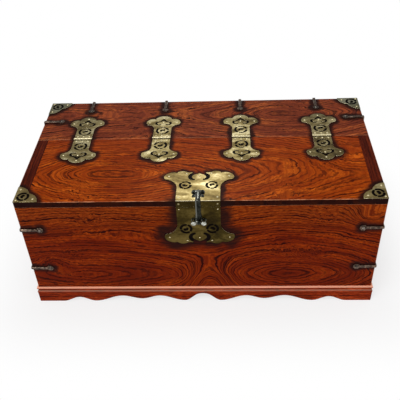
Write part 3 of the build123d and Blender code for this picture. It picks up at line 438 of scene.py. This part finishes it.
# Light, middle and deep tones and the ring line of each board's stain.
lid_tones = ("cb5f12", "a64508", "822c02", "3e0e00")
rear_tones = ("b45c2a", "8c4022", "662a1a", "2a0a06")
front_tones = ("9e3c04", "802701", "601600", "260200")
dark_tones = ("6d2810", "561b0a", "3e1005", "1e0402")
plinth_tones = ("b8481a", "98300a", "6e1c02", "300500")
lid_edge_tone = "160201"
# Painted highlight on the upward-facing side of the plinth's ledge.
ledge_highlight = "ffb898"

# The lid is redder towards its hinges; the walls are painted lighter and warmer towards their tops,
# painted light from above.
lid_shade = ("8a3618", -75.0, 40.0, 0.5)
wall_top_painted_light = ("9c4810", 225.0, 335.0, 0.6)

lid_elm = lacquered_elm(
    "lacquered_elm_lid", "X", "Y", lid_tones, seed=1.0, edge_tone=lid_edge_tone, shade=lid_shade
)
rear_elm = lacquered_elm("lacquered_elm_rear_top", "X", "Y", rear_tones, seed=2.0)
front_elm = lacquered_elm("lacquered_elm_front", "X", "Z", front_tones, seed=3.0, shade=wall_top_painted_light)
side_elm = lacquered_elm("lacquered_elm_sides", "Y", "Z", front_tones, seed=4.0, shade=wall_top_painted_light)
straight = {"ring": 7.0, "wander": 3.0, "burl": 3.0}  # narrow, even rings
cleat_elm = lacquered_elm(
    "dark_elm_cleats", "Y", "X", dark_tones, seed=5.0, contrast=0.7, edge_tone=lid_edge_tone, **straight
)
plinth_elm = lacquered_elm(
    "lacquered_elm_plinth", "X", "Z", plinth_tones, seed=6.0, ledge=ledge_highlight, **straight
)
plinth_side_elm = lacquered_elm(
    "lacquered_elm_plinth_sides", "Y", "Z", plinth_tones, seed=7.0, ledge=ledge_highlight, **straight
)
pine = bare_pine()
brass = sheet_brass()
bright_brass = worn_brass_painted_light()
wax = black_wax()

# The hasp has a painted highlight, grey along its left edge and over its bend, and the posts are
# painted dark at their roots, a painted shade.
hasp_painted_highlights = (("X", -2.4, -4.2, 0.6), ("Z", 359.0, 365.0, 0.6))
post_root_shade = (("Y", -230.0, -227.0, 0.9),)
iron = forged_iron("blackened_forged_iron", ("1e1f1c", "292a26", "3a3b36"), 0.14)
hasp_iron = forged_iron(
    "forged_iron_painted_highlights", ("1a1b18", "252622", "33342f"), 0.14, "7d7e77", hasp_painted_highlights
)
# Pale eased edges of the hasp: partly wear, partly a painted highlight.
edge_wear_and_highlight_iron = forged_iron("iron_edges_worn_and_highlit", ("5a5b55", "85867e", "b4b5ac"), 0.22)
strap_iron = forged_iron("rubbed_forged_iron", ("3e322b", "5a4b41", "86705f"), 0.28)
nail_iron = forged_iron("dark_iron_nails", ("3a3530", "5f5750", "a89f94"), 0.24)
# Lock posts painted pale, a painted highlight, with painted shade at their roots.
highlit_post_iron = forged_iron(
    "pale_post_iron_painted_highlight", ("8c8d83", "b4b5aa", "dedfd5"), 0.20, "33342f", post_root_shade
)

# --- Board figures ---
# The rings of a plain-sawn board lie about its pith, whose line runs below it: where the pith
# comes near the surface they close into an eye, and where it dives they run out in points. A
# pith is the line's place across the board and its (along, depth) stations, in millimetres.
ring_squareness = 1.5            # 2 for round rings; less for rings drawn out into points
pith_softness = 3.0              # rounds the rings where they cross the pith's line
lid_pith = (-112, (
    (-450, 92), (-400, 74), (-330, 38), (-260, 10), (-180, 12), (-90, 36), (60, 74), (200, 114),
    (340, 158), (450, 175),
))
rear_pith = (160, (
    (-450, 70), (-300, 96), (-150, 90), (0, 72), (110, 46), (190, 16), (260, 10), (330, 30), (450, 80),
))
front_pith = (104, (
    (-450, 40), (-390, 30), (-300, 18), (-170, 34), (-60, 56), (40, 62), (130, 36), (222, 8),
    (330, 34), (450, 84),
))
side_pith = (150, ((-240, 90), (-60, 20), (40, 26), (240, 100)))
back_pith = (190, ((-450, 110), (-180, 24), (-60, 18), (200, 70), (450, 150)))

# Each further figure of the grain is (along, across, length, width, rise): a swell of the rings
# about a point.
lid_figures = [(225, -60, 80, 30, -16), (20, -190, 120, 24, 9), (390, -60, 60, 44, 24)]
rear_figures = [(-60, 100, 170, 36, 12), (-330, 190, 90, 40, -14)]
front_figures = [
    (22, 52, 50, 88, 104), (-385, 150, 40, 34, -34), (-190, 262, 130, 20, -14),
    (-60, 215, 160, 24, 14), (416, 296, 50, 34, 40),
]
side_figures = [(90, 250, 80, 34, -20)]
back_figures = [(230, 250, 150, 36, -26)]

# Where the rings curl tightly, by (along, across, radius).
lid_curls = [(330, -60, 50), (215, -185, 46), (-300, -180, 40)]
rear_curls = [(-130, 80, 60), (290, 190, 40)]
front_curls = [
    (-360, 165, 46), (-270, 285, 40), (200, 188, 28), (245, 180, 30), (292, 170, 28), (300, 305, 36),
]

# The rings are calm where they spread by less than calm_slope, measured over calm_step.
calm_slope = 0.7
calm_step = 2.0


@cache
def pith_depth(along, stations):
    """Depth of the pith at a place along a board, smooth between its stations."""
    last = len(stations) - 1
    after = max(1, next((i for i, station in enumerate(stations) if along < station[0]), last))
    (start, low), (stop, high) = stations[after - 1], stations[after]
    share = min(1.0, max(0.0, (along - start) / (stop - start)))
    slopes = []
    for index in (after - 1, after):
        before, beyond = stations[max(0, index - 1)], stations[min(last, index + 1)]
        slopes.append((beyond[1] - before[1]) / (beyond[0] - before[0]) * (stop - start))
    rest = 1.0 - share
    return (
        low * (1 + 2 * share) * rest**2
        + high * (3 - 2 * share) * share**2
        + slopes[0] * share * rest**2
        - slopes[1] * rest * share**2
    )


def swell(along, across, figures):
    """How far the rings are swelled at a point, in millimetres."""
    total = 0.0
    for middle_along, middle_across, length, width, rise in figures:
        distance = ((along - middle_along) / length) ** 2 + ((across - middle_across) / width) ** 2
        total += rise * exp(-distance)
    return total


def growth(along, across, pith, figures):
    """Growth coordinate of a board before the small wanderings, in millimetres."""
    swelled = swell(along, across, figures)
    if not pith:
        return across + swelled
    line, stations = pith
    aside, depth = hypot(across - line, pith_softness), pith_depth(along, stations)
    return (aside**ring_squareness + depth**ring_squareness) ** (1 / ring_squareness) + swelled


# --- Pieces ---
def new_object(name, data):
    """An object of the scene, at the origin."""
    made = bpy.data.objects.new(name, data)
    bpy.context.scene.collection.objects.link(made)
    return made


def place_piece(name, mesh, replaced):
    """A finished piece, riding on its node's body and standing for the node."""
    piece = new_object(name, mesh)
    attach(piece, body_of_node[replaced])
    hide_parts(replaced)


def merged(mesh, *steps):
    """A mesh whose points nearer than each step in turn have been made one, as a bmesh."""
    shape = bmesh.new()
    shape.from_mesh(mesh)
    for step in steps:
        bmesh.ops.remove_doubles(shape, verts=shape.verts, dist=step)
    return shape


def applied(source):
    """Plain mesh of an object with its modifier applied; the object is removed."""
    bpy.context.view_layer.update()
    mesh = bpy.data.meshes.new_from_object(source.evaluated_get(bpy.context.evaluated_depsgraph_get()))
    source.modifiers.clear()
    bpy.data.objects.remove(source)
    return mesh


def corners(points):
    """Low and high corner of some points."""
    return (
        Vector(min(point[axis] for point in points) for axis in range(3)),
        Vector(max(point[axis] for point in points) for axis in range(3)),
    )


def search_tree(meshes):
    """Search tree over the faces of some meshes."""
    points, faces = [], []
    for mesh in meshes:
        first = len(points)
        points.extend(vertex.co.copy() for vertex in mesh.vertices)
        faces.extend([first + index for index in polygon.vertices] for polygon in mesh.polygons)
    return BVHTree.FromPolygons(points, faces)


# The fittings round which the wood is darkened, partly by a stain of its finish and partly by painted
# shadow, and how far each of them reaches.
fittings = [
    node
    for node in nodes
    if slot_of_node[node] in ("plate_brass", "iron") and not node.startswith("handle_bail")
]
front_plate = [node for node in fittings if node.startswith("lock_plate_front")]
stain_and_shadow_sources = [
    (search_tree(nodes[node].data for node in front_plate), front_stain_and_shadow_reach),
    (search_tree(nodes[node].data for node in fittings if node not in front_plate), stain_and_shadow_reach),
]
ray_lift = 0.7 * MM              # height over the wood at which the plates are looked for
ray_turns = [(cos(pi / 4 * turn), sin(pi / 4 * turn)) for turn in range(8)]
piercing_sides = 6


def stain_and_shadow_at(place, face_axis, face_side):
    """Darkness round the fittings at a place, partly a dark finish and partly painted shadow: 1 under
    a plate or in its piercings, falling to 0 beyond.

    A place is under a plate where the rays to all sides meet it, and in a piercing where at least
    piercing_sides of them meet it close by.
    """
    start = place.copy()
    start[face_axis] += face_side * ray_lift
    darkest = 0.0
    for search, reach in stain_and_shadow_sources:
        distance = search.find_nearest(place, reach)[3]
        if distance is None:
            continue
        darkest = max(darkest, stain_and_shadow_edge * (1.0 - (distance / reach) ** stain_and_shadow_fall))
        seen = []
        for turn in ray_turns:
            aim = list(turn)
            aim.insert(face_axis, 0.0)
            seen.append(search.ray_cast(start, Vector(aim), covered_reach)[3])
        close = [away for away in seen if away is not None and away < piercing_reach]
        if None not in seen or len(close) >= piercing_sides:
            return 1.0
    return darkest


# How far in from a board's end its sections lie, for each kind of end.
end_insets = {
    "round": [arris_radius * (1 - cos(pi / 2 * step / arris_steps)) for step in range(arris_steps + 1)],
    "square": [0.0],
    "mitred": [arris_radius * share for share in (mitre_start, 0.3, 0.45, 0.7, 1.0)],
}


def section_places(low, high, ends):
    """Places of a board's sections from low to high: near its ends, and evenly between them."""
    insets = end_insets[ends]
    margin = arris_radius if ends == "round" else 0.0
    length = high - low - 2 * margin
    count = round(length / board_grid)
    between = [low + margin + length * step / count for step in range(1, count)]
    return [low + inset for inset in insets] + between + [high - inset for inset in reversed(insets)]


def inset_at(distance):
    """How far a quarter-round arris has drawn the surface in, at a distance from the board's end."""
    if distance >= arris_radius:
        return 0.0
    return arris_radius - sqrt(max(0.0, arris_radius**2 - (arris_radius - distance) ** 2))


def section_outline(low, high, inset):
    """Outline of a board's section, drawn in by inset, with rounded arrises.

    low and high are its corners and the outline's points are such pairs, (across, through).
    """
    radius = max(arris_radius - inset, least_radius)
    arcs = []
    for turn, (right, top) in enumerate(((True, True), (False, True), (False, False), (True, False))):
        x = high[0] - inset - radius if right else low[0] + inset + radius
        y = high[1] - inset - radius if top else low[1] + inset + radius
        angles = [pi / 2 * (turn + step / arris_steps) for step in range(arris_steps + 1)]
        arcs.append([(x + radius * cos(angle), y + radius * sin(angle)) for angle in angles])
    points = []
    for turn, arc in enumerate(arcs):
        (x, y), (next_x, next_y) = arc[-1], arcs[(turn + 1) % 4][0]
        steps = thickness_steps if turn % 2 else round((high[0] - low[0]) / board_grid)
        shares = [step / steps for step in range(1, steps)]
        points += arc + [(x + (next_x - x) * share, y + (next_y - y) * share) for share in shares]
    return points


def board_mesh(name, low, high, axis, face_axis, face_side, ends):
    """Board from corner low to corner high along an axis, with rounded arrises and closed ends."""
    other_axis = 3 - axis - face_axis
    section_low, section_high = ((corner[other_axis], corner[face_axis]) for corner in (low, high))
    skin = high[face_axis] if face_side > 0 else low[face_axis]
    middle, half = (low[axis] + high[axis]) / 2, (high[axis] - low[axis]) / 2
    least = mitre_start * arris_radius
    sections = []
    for run in section_places(low[axis], high[axis], ends):
        distance = min(run - low[axis], high[axis] - run)
        inset = inset_at(distance) if ends == "round" else 0.0
        section = []
        for other, face in section_outline(section_low, section_high, inset):
            place = [0.0, 0.0, 0.0]
            place[axis], place[other_axis], place[face_axis] = run, other, face
            if ends == "mitred":
                depth = max(abs(skin - face), inset_at(distance))
                place[face_axis] = skin - face_side * depth
                place[axis] = middle + (run - middle) * (half - max(depth, least)) / (half - least)
            section.append(place)
        sections.append(section)
    size, last = len(sections[0]), (len(sections) - 1) * len(sections[0])
    faces = [tuple(reversed(range(size))), tuple(range(last, last + size))]
    for first in range(0, last, size):
        for column in range(size):
            a, b = first + column, first + (column + 1) % size
            faces.append((a, b, b + size, a + size))

    mesh = bpy.data.meshes.new(name)
    mesh.from_pydata([place for section in sections for place in section], [], faces)
    shape = merged(mesh, merge_step)
    bmesh.ops.recalc_face_normals(shape, faces=shape.faces)
    shape.to_mesh(mesh)
    shape.free()
    mesh.shade_smooth()
    mesh.set_sharp_from_angle(angle=board_crease)
    return mesh


def wooden_board(node, material, axis, outside, figures, pith=None, curls=(), reach=None,
                 ends="round", quiet=(), faint=()):
    """Finished board in place of a node, its grain along axis; bare pine on its inner face.

    outside is the axis and side of its best face, such as (2, 1). quiet and faint are the sides,
    such as (0, -1), whose arrises aren't or are hardly painted pale, which is partly wear and partly
    a painted highlight. reach is its ends' places along the axis, where they aren't the node's.
    """
    low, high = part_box(node)
    if reach:
        low[axis], high[axis] = reach
    face_axis, face_side = outside
    other_axis = 3 - axis - face_axis
    mesh = board_mesh(f"{node}_wood", low, high, axis, face_axis, face_side, ends)

    curled = [(along, across, radius, radius, 1.0) for along, across, radius in curls]
    values = {"figure": [], "calm": [], "curl": [], "stain_and_shadow": [], "arris_wear_and_highlight": []}
    for vertex in mesh.vertices:
        place = vertex.co
        along, across = place[axis] / MM, place[other_axis] / MM
        grown = growth(along, across, pith, figures)
        spread = hypot(
            growth(along + calm_step, across, pith, figures) - grown,
            growth(along, across + calm_step, pith, figures) - grown,
        )
        values["figure"].append(grown - across)
        values["calm"].append(max(0.0, 1.0 - spread / (calm_slope * calm_step)))
        values["curl"].append(swell(along, across, curled))
        # Dark round the fittings: partly a stain of the finish, partly painted shadow.
        values["stain_and_shadow"].append(stain_and_shadow_at(place, face_axis, face_side))
        # Arrises painted pale: partly wear, partly a painted highlight.
        drawn = []
        for index in range(3):
            for side, gap in ((-1, place[index] - low[index]), (1, high[index] - place[index])):
                if gap < arris_wear_and_highlight_reach and (index, side) not in quiet:
                    drawn.append(faint_arris_wear_and_highlight if (index, side) in faint else 1.0)
        values["arris_wear_and_highlight"].append(min(drawn) if len(drawn) > 1 else 0.0)
    for attribute, numbers in values.items():
        mesh.attributes.new(attribute, "FLOAT", "POINT").data.foreach_set("value", numbers)
    mesh.materials.append(material)
    mesh.materials.append(pine)
    for polygon in mesh.polygons:
        if polygon.normal[face_axis] * face_side < -0.7:
            polygon.material_index = 1
    place_piece(f"{node}_wood", mesh, node)


cleat_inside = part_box("lid_cleat_left")[1].x
seam = (1, 1)
wooden_board(
    "lid_panel", lid_elm, 0, (2, 1), lid_figures, lid_pith, lid_curls,
    reach=(cleat_inside, -cleat_inside), ends="square", quiet=((0, -1), (0, 1), seam),
)
wooden_board("lid_cleat_left", cleat_elm, 1, (2, 1), [], quiet=(seam, (0, 1)))
wooden_board("lid_cleat_right", cleat_elm, 1, (2, 1), [], quiet=(seam, (0, -1)))
wooden_board(
    "rear_top_board", rear_elm, 0, (2, 1), rear_figures, rear_pith, rear_curls, faint=((1, -1),)
)
wooden_board(
    "front_board", front_elm, 0, (1, -1), front_figures, front_pith, front_curls, ends="mitred",
    quiet=((2, 1),),
)
wooden_board("back_board", front_elm, 0, (1, 1), back_figures, back_pith, ends="mitred")
wooden_board("left_side_board", side_elm, 1, (0, -1), side_figures, side_pith, ends="mitred")
wooden_board("right_side_board", side_elm, 1, (0, 1), side_figures, side_pith, ends="mitred")

# Places of a fitting's materials on its mesh.
polished_and_highlit, waxed, eased = 1, 2, 3


def finished_copy(node, material, bevel, finish, rounds=1, crease=30, barrel=0.0, pierced=0.0,
                  edges=None):
    """Copy of a node with its sharp edges eased, standing for it.

    Edges sharper than crease degrees aren't shaded round. Faces nearer to the hinge axis than
    barrel are worn to a polish and painted pale as a painted highlight, the sides of piercings
    narrower than pierced are waxed black, and the eased edges take a material of their own where
    one is given.
    """
    mesh = nodes[node].data.copy()
    mesh.materials.clear()
    for each in (material, bright_brass, wax, edges or material):
        mesh.materials.append(each)
    shape = merged(mesh, merge_step, outline_step)
    shape.to_mesh(mesh)
    shape.free()
    source = new_object("easing", mesh)
    ease = source.modifiers.new("eased_edges", "BEVEL")
    ease.width = bevel
    ease.segments = rounds
    ease.limit_method = "ANGLE"
    ease.angle_limit = bevel_angle
    if edges:
        ease.material = eased
    made = applied(source)
    if pierced:
        mark_piercings(made, pierced)
        mark_wax(made)
    made.shade_smooth()
    made.set_sharp_from_angle(angle=radians(crease))
    for polygon in made.polygons:
        # A face square to an axis is flat to the eye.
        if max(abs(part) for part in polygon.normal) > 0.999:
            polygon.use_smooth = False
        if (polygon.center - hinge_axis).yz.length < barrel:
            polygon.material_index = polished_and_highlit
    place_piece(f"{node}_{finish}", made, node)


def mark_piercings(mesh, narrow):
    """Waxes the sides that face another side of the same plate close by."""
    search = search_tree([mesh])
    low, high = corners([vertex.co for vertex in mesh.vertices])
    through = 2 if high.z - low.z < sheet_height else 1
    back = low[through] + plate_back
    for polygon in mesh.polygons:
        aim = polygon.normal.copy()
        if abs(aim[through]) >= 0.8 or polygon.center[through] <= back:
            continue
        aim[through] = 0.0
        aim.normalize()
        start = polygon.center + aim * ray_start
        if aim.length and search.ray_cast(start, aim, narrow)[0] is not None:
            polygon.material_index = waxed


def mark_wax(mesh):
    """Attribute wax of a pierced plate: 1 at its piercings, falling to 0 at wax_reach from them."""
    shape = bmesh.new()
    shape.from_mesh(mesh)
    black = [face for face in shape.faces if face.material_index == waxed]
    search = BVHTree.FromPolygons(
        [vertex.co.copy() for vertex in shape.verts],
        [[vertex.index for vertex in face.verts] for face in black],
    )
    for _ in range(wax_passes):
        cut = []
        for edge in shape.edges:
            length = edge.calc_length()
            if length < wax_grid or all(face.material_index == waxed for face in edge.link_faces):
                continue
            middle = (edge.verts[0].co + edge.verts[1].co) / 2
            if search.find_nearest(middle, length / 2 + wax_reach)[0] is not None:
                cut.append(edge)
        bmesh.ops.subdivide_edges(shape, edges=cut, cuts=1)
        metal = [face for face in shape.faces if face.material_index != waxed]
        bmesh.ops.triangulate(shape, faces=metal)
    shape.to_mesh(mesh)
    shape.free()
    distances = [search.find_nearest(vertex.co, wax_reach)[3] for vertex in mesh.vertices]
    values = [0.0 if distance is None else 1.0 - distance / wax_reach for distance in distances]
    mesh.attributes.new("wax", "FLOAT", "POINT").data.foreach_set("value", values)


for side, elm in (
    ("front", plinth_elm), ("back", plinth_elm), ("left", plinth_side_elm), ("right", plinth_side_elm),
):
    finished_copy(f"plinth_{side}", elm, plinth_bevel, "wood", crease=50)

for node in sorted(nodes):
    if node.endswith(("_pin", "_nails")):
        continue
    if node.startswith("hinge"):
        finished_copy(node, brass, sheet_bevel, "brass", barrel=barrel_radius, pierced=hinge_piercing)
    elif node.startswith(("corner_plate", "lock_plate")):
        finished_copy(node, brass, sheet_bevel, "brass", pierced=plate_piercing)
    elif node.startswith("handle_roses"):
        finished_copy(node, brass, sheet_bevel, "brass")
    elif node.startswith("lock_post"):
        finished_copy(node, highlit_post_iron, post_bevel, "iron", rounds=2, crease=50)
    elif node.startswith("hasp"):
        metal = hasp_iron if node == "hasp" else iron
        # The hasp's eased edges are pale: partly wear, partly a painted highlight.
        finished_copy(node, metal, forged_bevel, "iron", rounds=3, crease=60, edges=edge_wear_and_highlight_iron)
    elif node.startswith("strap"):
        # The straps' eased edges are painted dark, a painted shade.
        finished_copy(node, strap_iron, strap_bevel, "iron", rounds=3, crease=60, edges=iron)


# --- Nails ---
def nail_places(node):
    """Seat and outward direction of each nail in a group, read from its solids."""
    shape = merged(nodes[node].data, merge_step)
    seen, places = set(), []
    for first in shape.verts:
        if first in seen:
            continue
        island, queue = [], [first]
        seen.add(first)
        while queue:
            vertex = queue.pop()
            island.append(vertex.co.copy())
            for link in vertex.link_edges:
                other = link.other_vert(vertex)
                if other not in seen:
                    seen.add(other)
                    queue.append(other)
        low, high = corners(island)
        middle = (low + high) / 2
        along = max(range(3), key=lambda axis: high[axis] - low[axis])
        across = [axis for axis in range(3) if axis != along]
        rim = max(island, key=lambda point: sum((point[axis] - middle[axis]) ** 2 for axis in across))
        seat = middle.copy()
        seat[along] = rim[along]
        aim = Vector((0.0, 0.0, 0.0))
        aim[along] = 1.0 if rim[along] > middle[along] else -1.0
        places.append((seat, aim))
    shape.free()
    return places


def nail_tree():
    """Geometry nodes that set a hammered domed nail, with its shank, on each point."""
    tree = bpy.data.node_groups.new("hammered_nails", "GeometryNodeTree")
    for label, kind in (
        ("Places", "Geometry"), ("Head radius", "Float"), ("Head height", "Float"),
        ("Shank radius", "Float"), ("Shank length", "Float"), ("Seed", "Int"), ("Metal", "Material"),
    ):
        tree.interface.new_socket(label, in_out="INPUT", socket_type=f"NodeSocket{kind}")
    tree.interface.new_socket("Nails", in_out="OUTPUT", socket_type="NodeSocketGeometry")
    given = add(tree, "NodeGroupInput").outputs

    ball = add(tree, "GeometryNodeMeshUVSphere", {"Segments": 14, "Rings": 8, "Radius": 1.0})
    radius, length = given["Head radius"], given["Shank length"]
    head_size = add(tree, JOIN, {0: radius, 1: radius, 2: given["Head height"]})
    head = add(tree, "GeometryNodeTransform", {"Geometry": ball, "Scale": head_size})
    shank = add(tree, "GeometryNodeMeshCylinder", {
        "Vertices": 8, "Radius": given["Shank radius"], "Depth": length,
    })
    half_down = add(tree, MATH, {0: length, 1: -0.5}, "MULTIPLY")
    shank_place = add(tree, JOIN, {2: half_down})
    shank = add(tree, "GeometryNodeTransform", {"Geometry": shank, "Translation": shank_place})
    nail = add(tree, "GeometryNodeJoinGeometry", {0: head})
    tree.links.new(shank.outputs[0], nail.inputs[0])

    aim = add(tree, "GeometryNodeInputNamedAttribute", {"Name": "aim"}, data_type="FLOAT_VECTOR")
    upright = add(tree, "FunctionNodeAlignRotationToVector", {"Vector": aim}, axis="Z")
    size = add(tree, "FunctionNodeRandomValue", {
        "Min": (0.9, 0.9, 0.85), "Max": (1.06, 1.06, 1.12), "Seed": given["Seed"],
    }, data_type="FLOAT_VECTOR")
    placed = add(tree, "GeometryNodeInstanceOnPoints", {
        "Points": given["Places"], "Instance": nail, "Rotation": upright, "Scale": size,
    })
    whole = add(tree, "GeometryNodeRealizeInstances", {"Geometry": placed})
    dents = add(tree, NOISE, {
        "Vector": add(tree, "GeometryNodeInputPosition"), "Scale": 420.0, "Detail": 1.0,
    }).outputs["Color"]
    centred = add(tree, VECTOR, {0: dents, 1: (0.5, 0.5, 0.5)}, "SUBTRACT")
    offset = add(tree, VECTOR, {0: centred, "Scale": 0.5 * MM}, "SCALE")
    hammered = add(tree, "GeometryNodeSetPosition", {"Geometry": whole, "Offset": offset})
    metal = add(tree, "GeometryNodeSetMaterial", {"Geometry": hammered, "Material": given["Metal"]})
    add(tree, "NodeGroupOutput", {0: metal})
    return tree


hammered_nails = nail_tree()
nail_inputs = {
    item.name: item.identifier
    for item in hammered_nails.interface.items_tree
    if item.in_out == "INPUT"
}


def nails(node, metal, head, shank_length, seed):
    """Nails in place of a node's plain ones."""
    places = nail_places(node)
    mesh = bpy.data.meshes.new(f"{node}_places")
    mesh.from_pydata([seat for seat, _ in places], [], [])
    aims = [value for _, aim in places for value in aim]
    mesh.attributes.new("aim", "FLOAT_VECTOR", "POINT").data.foreach_set("vector", aims)
    source = new_object(f"{node}_places", mesh)
    setter = source.modifiers.new("nails", "NODES")
    setter.node_group = hammered_nails
    values = {
        "Head radius": head[0], "Head height": head[1], "Shank radius": shank_radius,
        "Shank length": shank_length, "Seed": seed, "Metal": metal,
    }
    for label, value in values.items():
        setter[nail_inputs[label]] = value
    made = applied(source)
    made.shade_smooth()
    made.set_sharp_from_angle(angle=nail_crease)
    place_piece(f"{node}_hammered", made, node)


nails("lid_nails", bright_brass, brass_nail, short_shank, 1)
nails("rear_top_nails", bright_brass, brass_nail, long_shank, 2)
nails("lock_plate_front_nails", brass, brass_nail, long_shank, 3)
nails("hasp_mount_nails", iron, brass_nail, long_shank, 4)
nails("strap_nails", nail_iron, strap_nail, long_shank, 5)

# --- Finish of the nodes that stay as they are ---
for node, piece in nodes.items():
    metal = bright_brass if node.startswith("hinge") else iron
    piece.data.materials.clear()
    piece.data.materials.append(pine if slot_of_node[node] == "bare_wood" else metal)


# --- Stage ---
chest_half = (450 * MM, 230 * MM, 0.0)
shadow_reach = 260 * MM          # how far from the chest the floor shows its shadow


def seen_share(tree):
    """1 for what the camera sees, directly, by reflection or through glass, and 0 for the light."""
    path = add(tree, "ShaderNodeLightPath").outputs
    seen = add(tree, MATH, {0: path["Is Camera Ray"], 1: path["Is Glossy Ray"]}, "MAXIMUM")
    return add(tree, MATH, {0: seen, 1: path["Is Transmission Ray"]}, "MAXIMUM")


def floor_material():
    """White paper floor; far from the chest it is white to the eye whatever the light."""
    material, tree = new_material("white_paper_floor")
    aside = add(tree, VECTOR, {0: add(tree, PLACE).outputs["Object"]}, "ABSOLUTE")
    beyond = add(tree, VECTOR, {0: aside, 1: chest_half}, "SUBTRACT")
    beyond = add(tree, VECTOR, {0: beyond, 1: (0.0, 0.0, 0.0)}, "MAXIMUM")
    distance = add(tree, VECTOR, {0: beyond}, "LENGTH")
    far = add(tree, RANGE, {"Value": distance, "From Max": shadow_reach, "To Min": 0.68},
              interpolation_type="SMOOTHSTEP")
    share = add(tree, MATH, {0: far, 1: seen_share(tree)}, "MULTIPLY")
    paper = add(tree, "ShaderNodeBsdfDiffuse", {"Color": "f4f4f4"})
    white = add(tree, "ShaderNodeEmission", {"Color": "ffffff", "Strength": 1.0})
    mixed = add(tree, "ShaderNodeMixShader", {0: share, 1: paper, 2: white})
    add(tree, "ShaderNodeOutputMaterial", {"Surface": mixed})
    return material


floor_half = 12.0
floor_drop = 0.2 * MM
floor_mesh = bpy.data.meshes.new("floor")
floor_mesh.from_pydata(
    [(x * floor_half, y * floor_half, -floor_drop) for x, y in ((-1, -1), (1, -1), (1, 1), (-1, 1))],
    [], [(0, 1, 2, 3)],
)
floor_mesh.materials.append(floor_material())
floor = new_object("floor", floor_mesh)


def studio_world():
    """White round the horizon, greyer overhead; a softer white lights the chest."""
    world = bpy.data.worlds.new("studio")
    world.use_nodes = True
    tree = world.node_tree
    tree.nodes.clear()
    height = add(tree, SPLIT, {0: add(tree, PLACE).outputs["Generated"]}).outputs["Z"]
    shown = add(tree, RAMP, {"Fac": height}, stops=[(0.06, "ffffff"), (0.35, "b4b4b4"), (1.0, "8a8a8a")])
    seen = add(tree, "ShaderNodeBackground", {"Color": shown, "Strength": 1.0})
    fill = add(tree, "ShaderNodeBackground", {"Color": "ffffff", "Strength": 0.45})
    mixed = add(tree, "ShaderNodeMixShader", {0: seen_share(tree), 1: fill, 2: seen})
    add(tree, "ShaderNodeOutputWorld", {"Surface": mixed})
    return world


bpy.context.scene.world = studio_world()


def aimed(name, data, location, target, roll=0.0):
    """An object at a location whose -Z points to a target, turned about that line by roll."""
    made = new_object(name, data)
    made.location = location
    made.rotation_mode = "QUATERNION"
    look = (Vector(target) - Vector(location)).to_track_quat("-Z", "Y")
    made.rotation_quaternion = look @ Matrix.Rotation(roll, 4, "Z").to_quaternion()
    return made


def lamp(name, kind, location, target, energy, **settings):
    """A lamp with its settings, aimed at a target."""
    data = bpy.data.lights.new(name, kind)
    data.energy = energy
    for key, value in settings.items():
        setattr(data, key, value)
    aimed(name, data, location, target)


chest_middle = (0.0, 0.0, 0.2)
lamp("key", "SUN", (-1.2, -1.6, 3.0), chest_middle, 1.35, angle=radians(34))
lamp("fill", "SUN", (1.8, -2.4, 1.6), chest_middle, 0.55, angle=radians(60))
lamp("back_softbox", "AREA", (-0.1, 1.5, 1.95), (0.0, -0.15, 0.35), 6.0, shape="RECTANGLE", size=0.8,
     size_y=0.35)

# --- Camera ---
camera_place = (0.079, -1.3336, 1.2934)
camera_target = (-0.0027, -0.1, 0.2554)
camera_roll = radians(-3.058)
camera_data = bpy.data.cameras.new("camera")
camera_data.lens = 54.93
camera_data.sensor_width = 36.0
camera_data.clip_end = 100.0
bpy.context.scene.camera = aimed("camera", camera_data, camera_place, camera_target, camera_roll)
bpy.context.scene.view_settings.view_transform = "Standard"
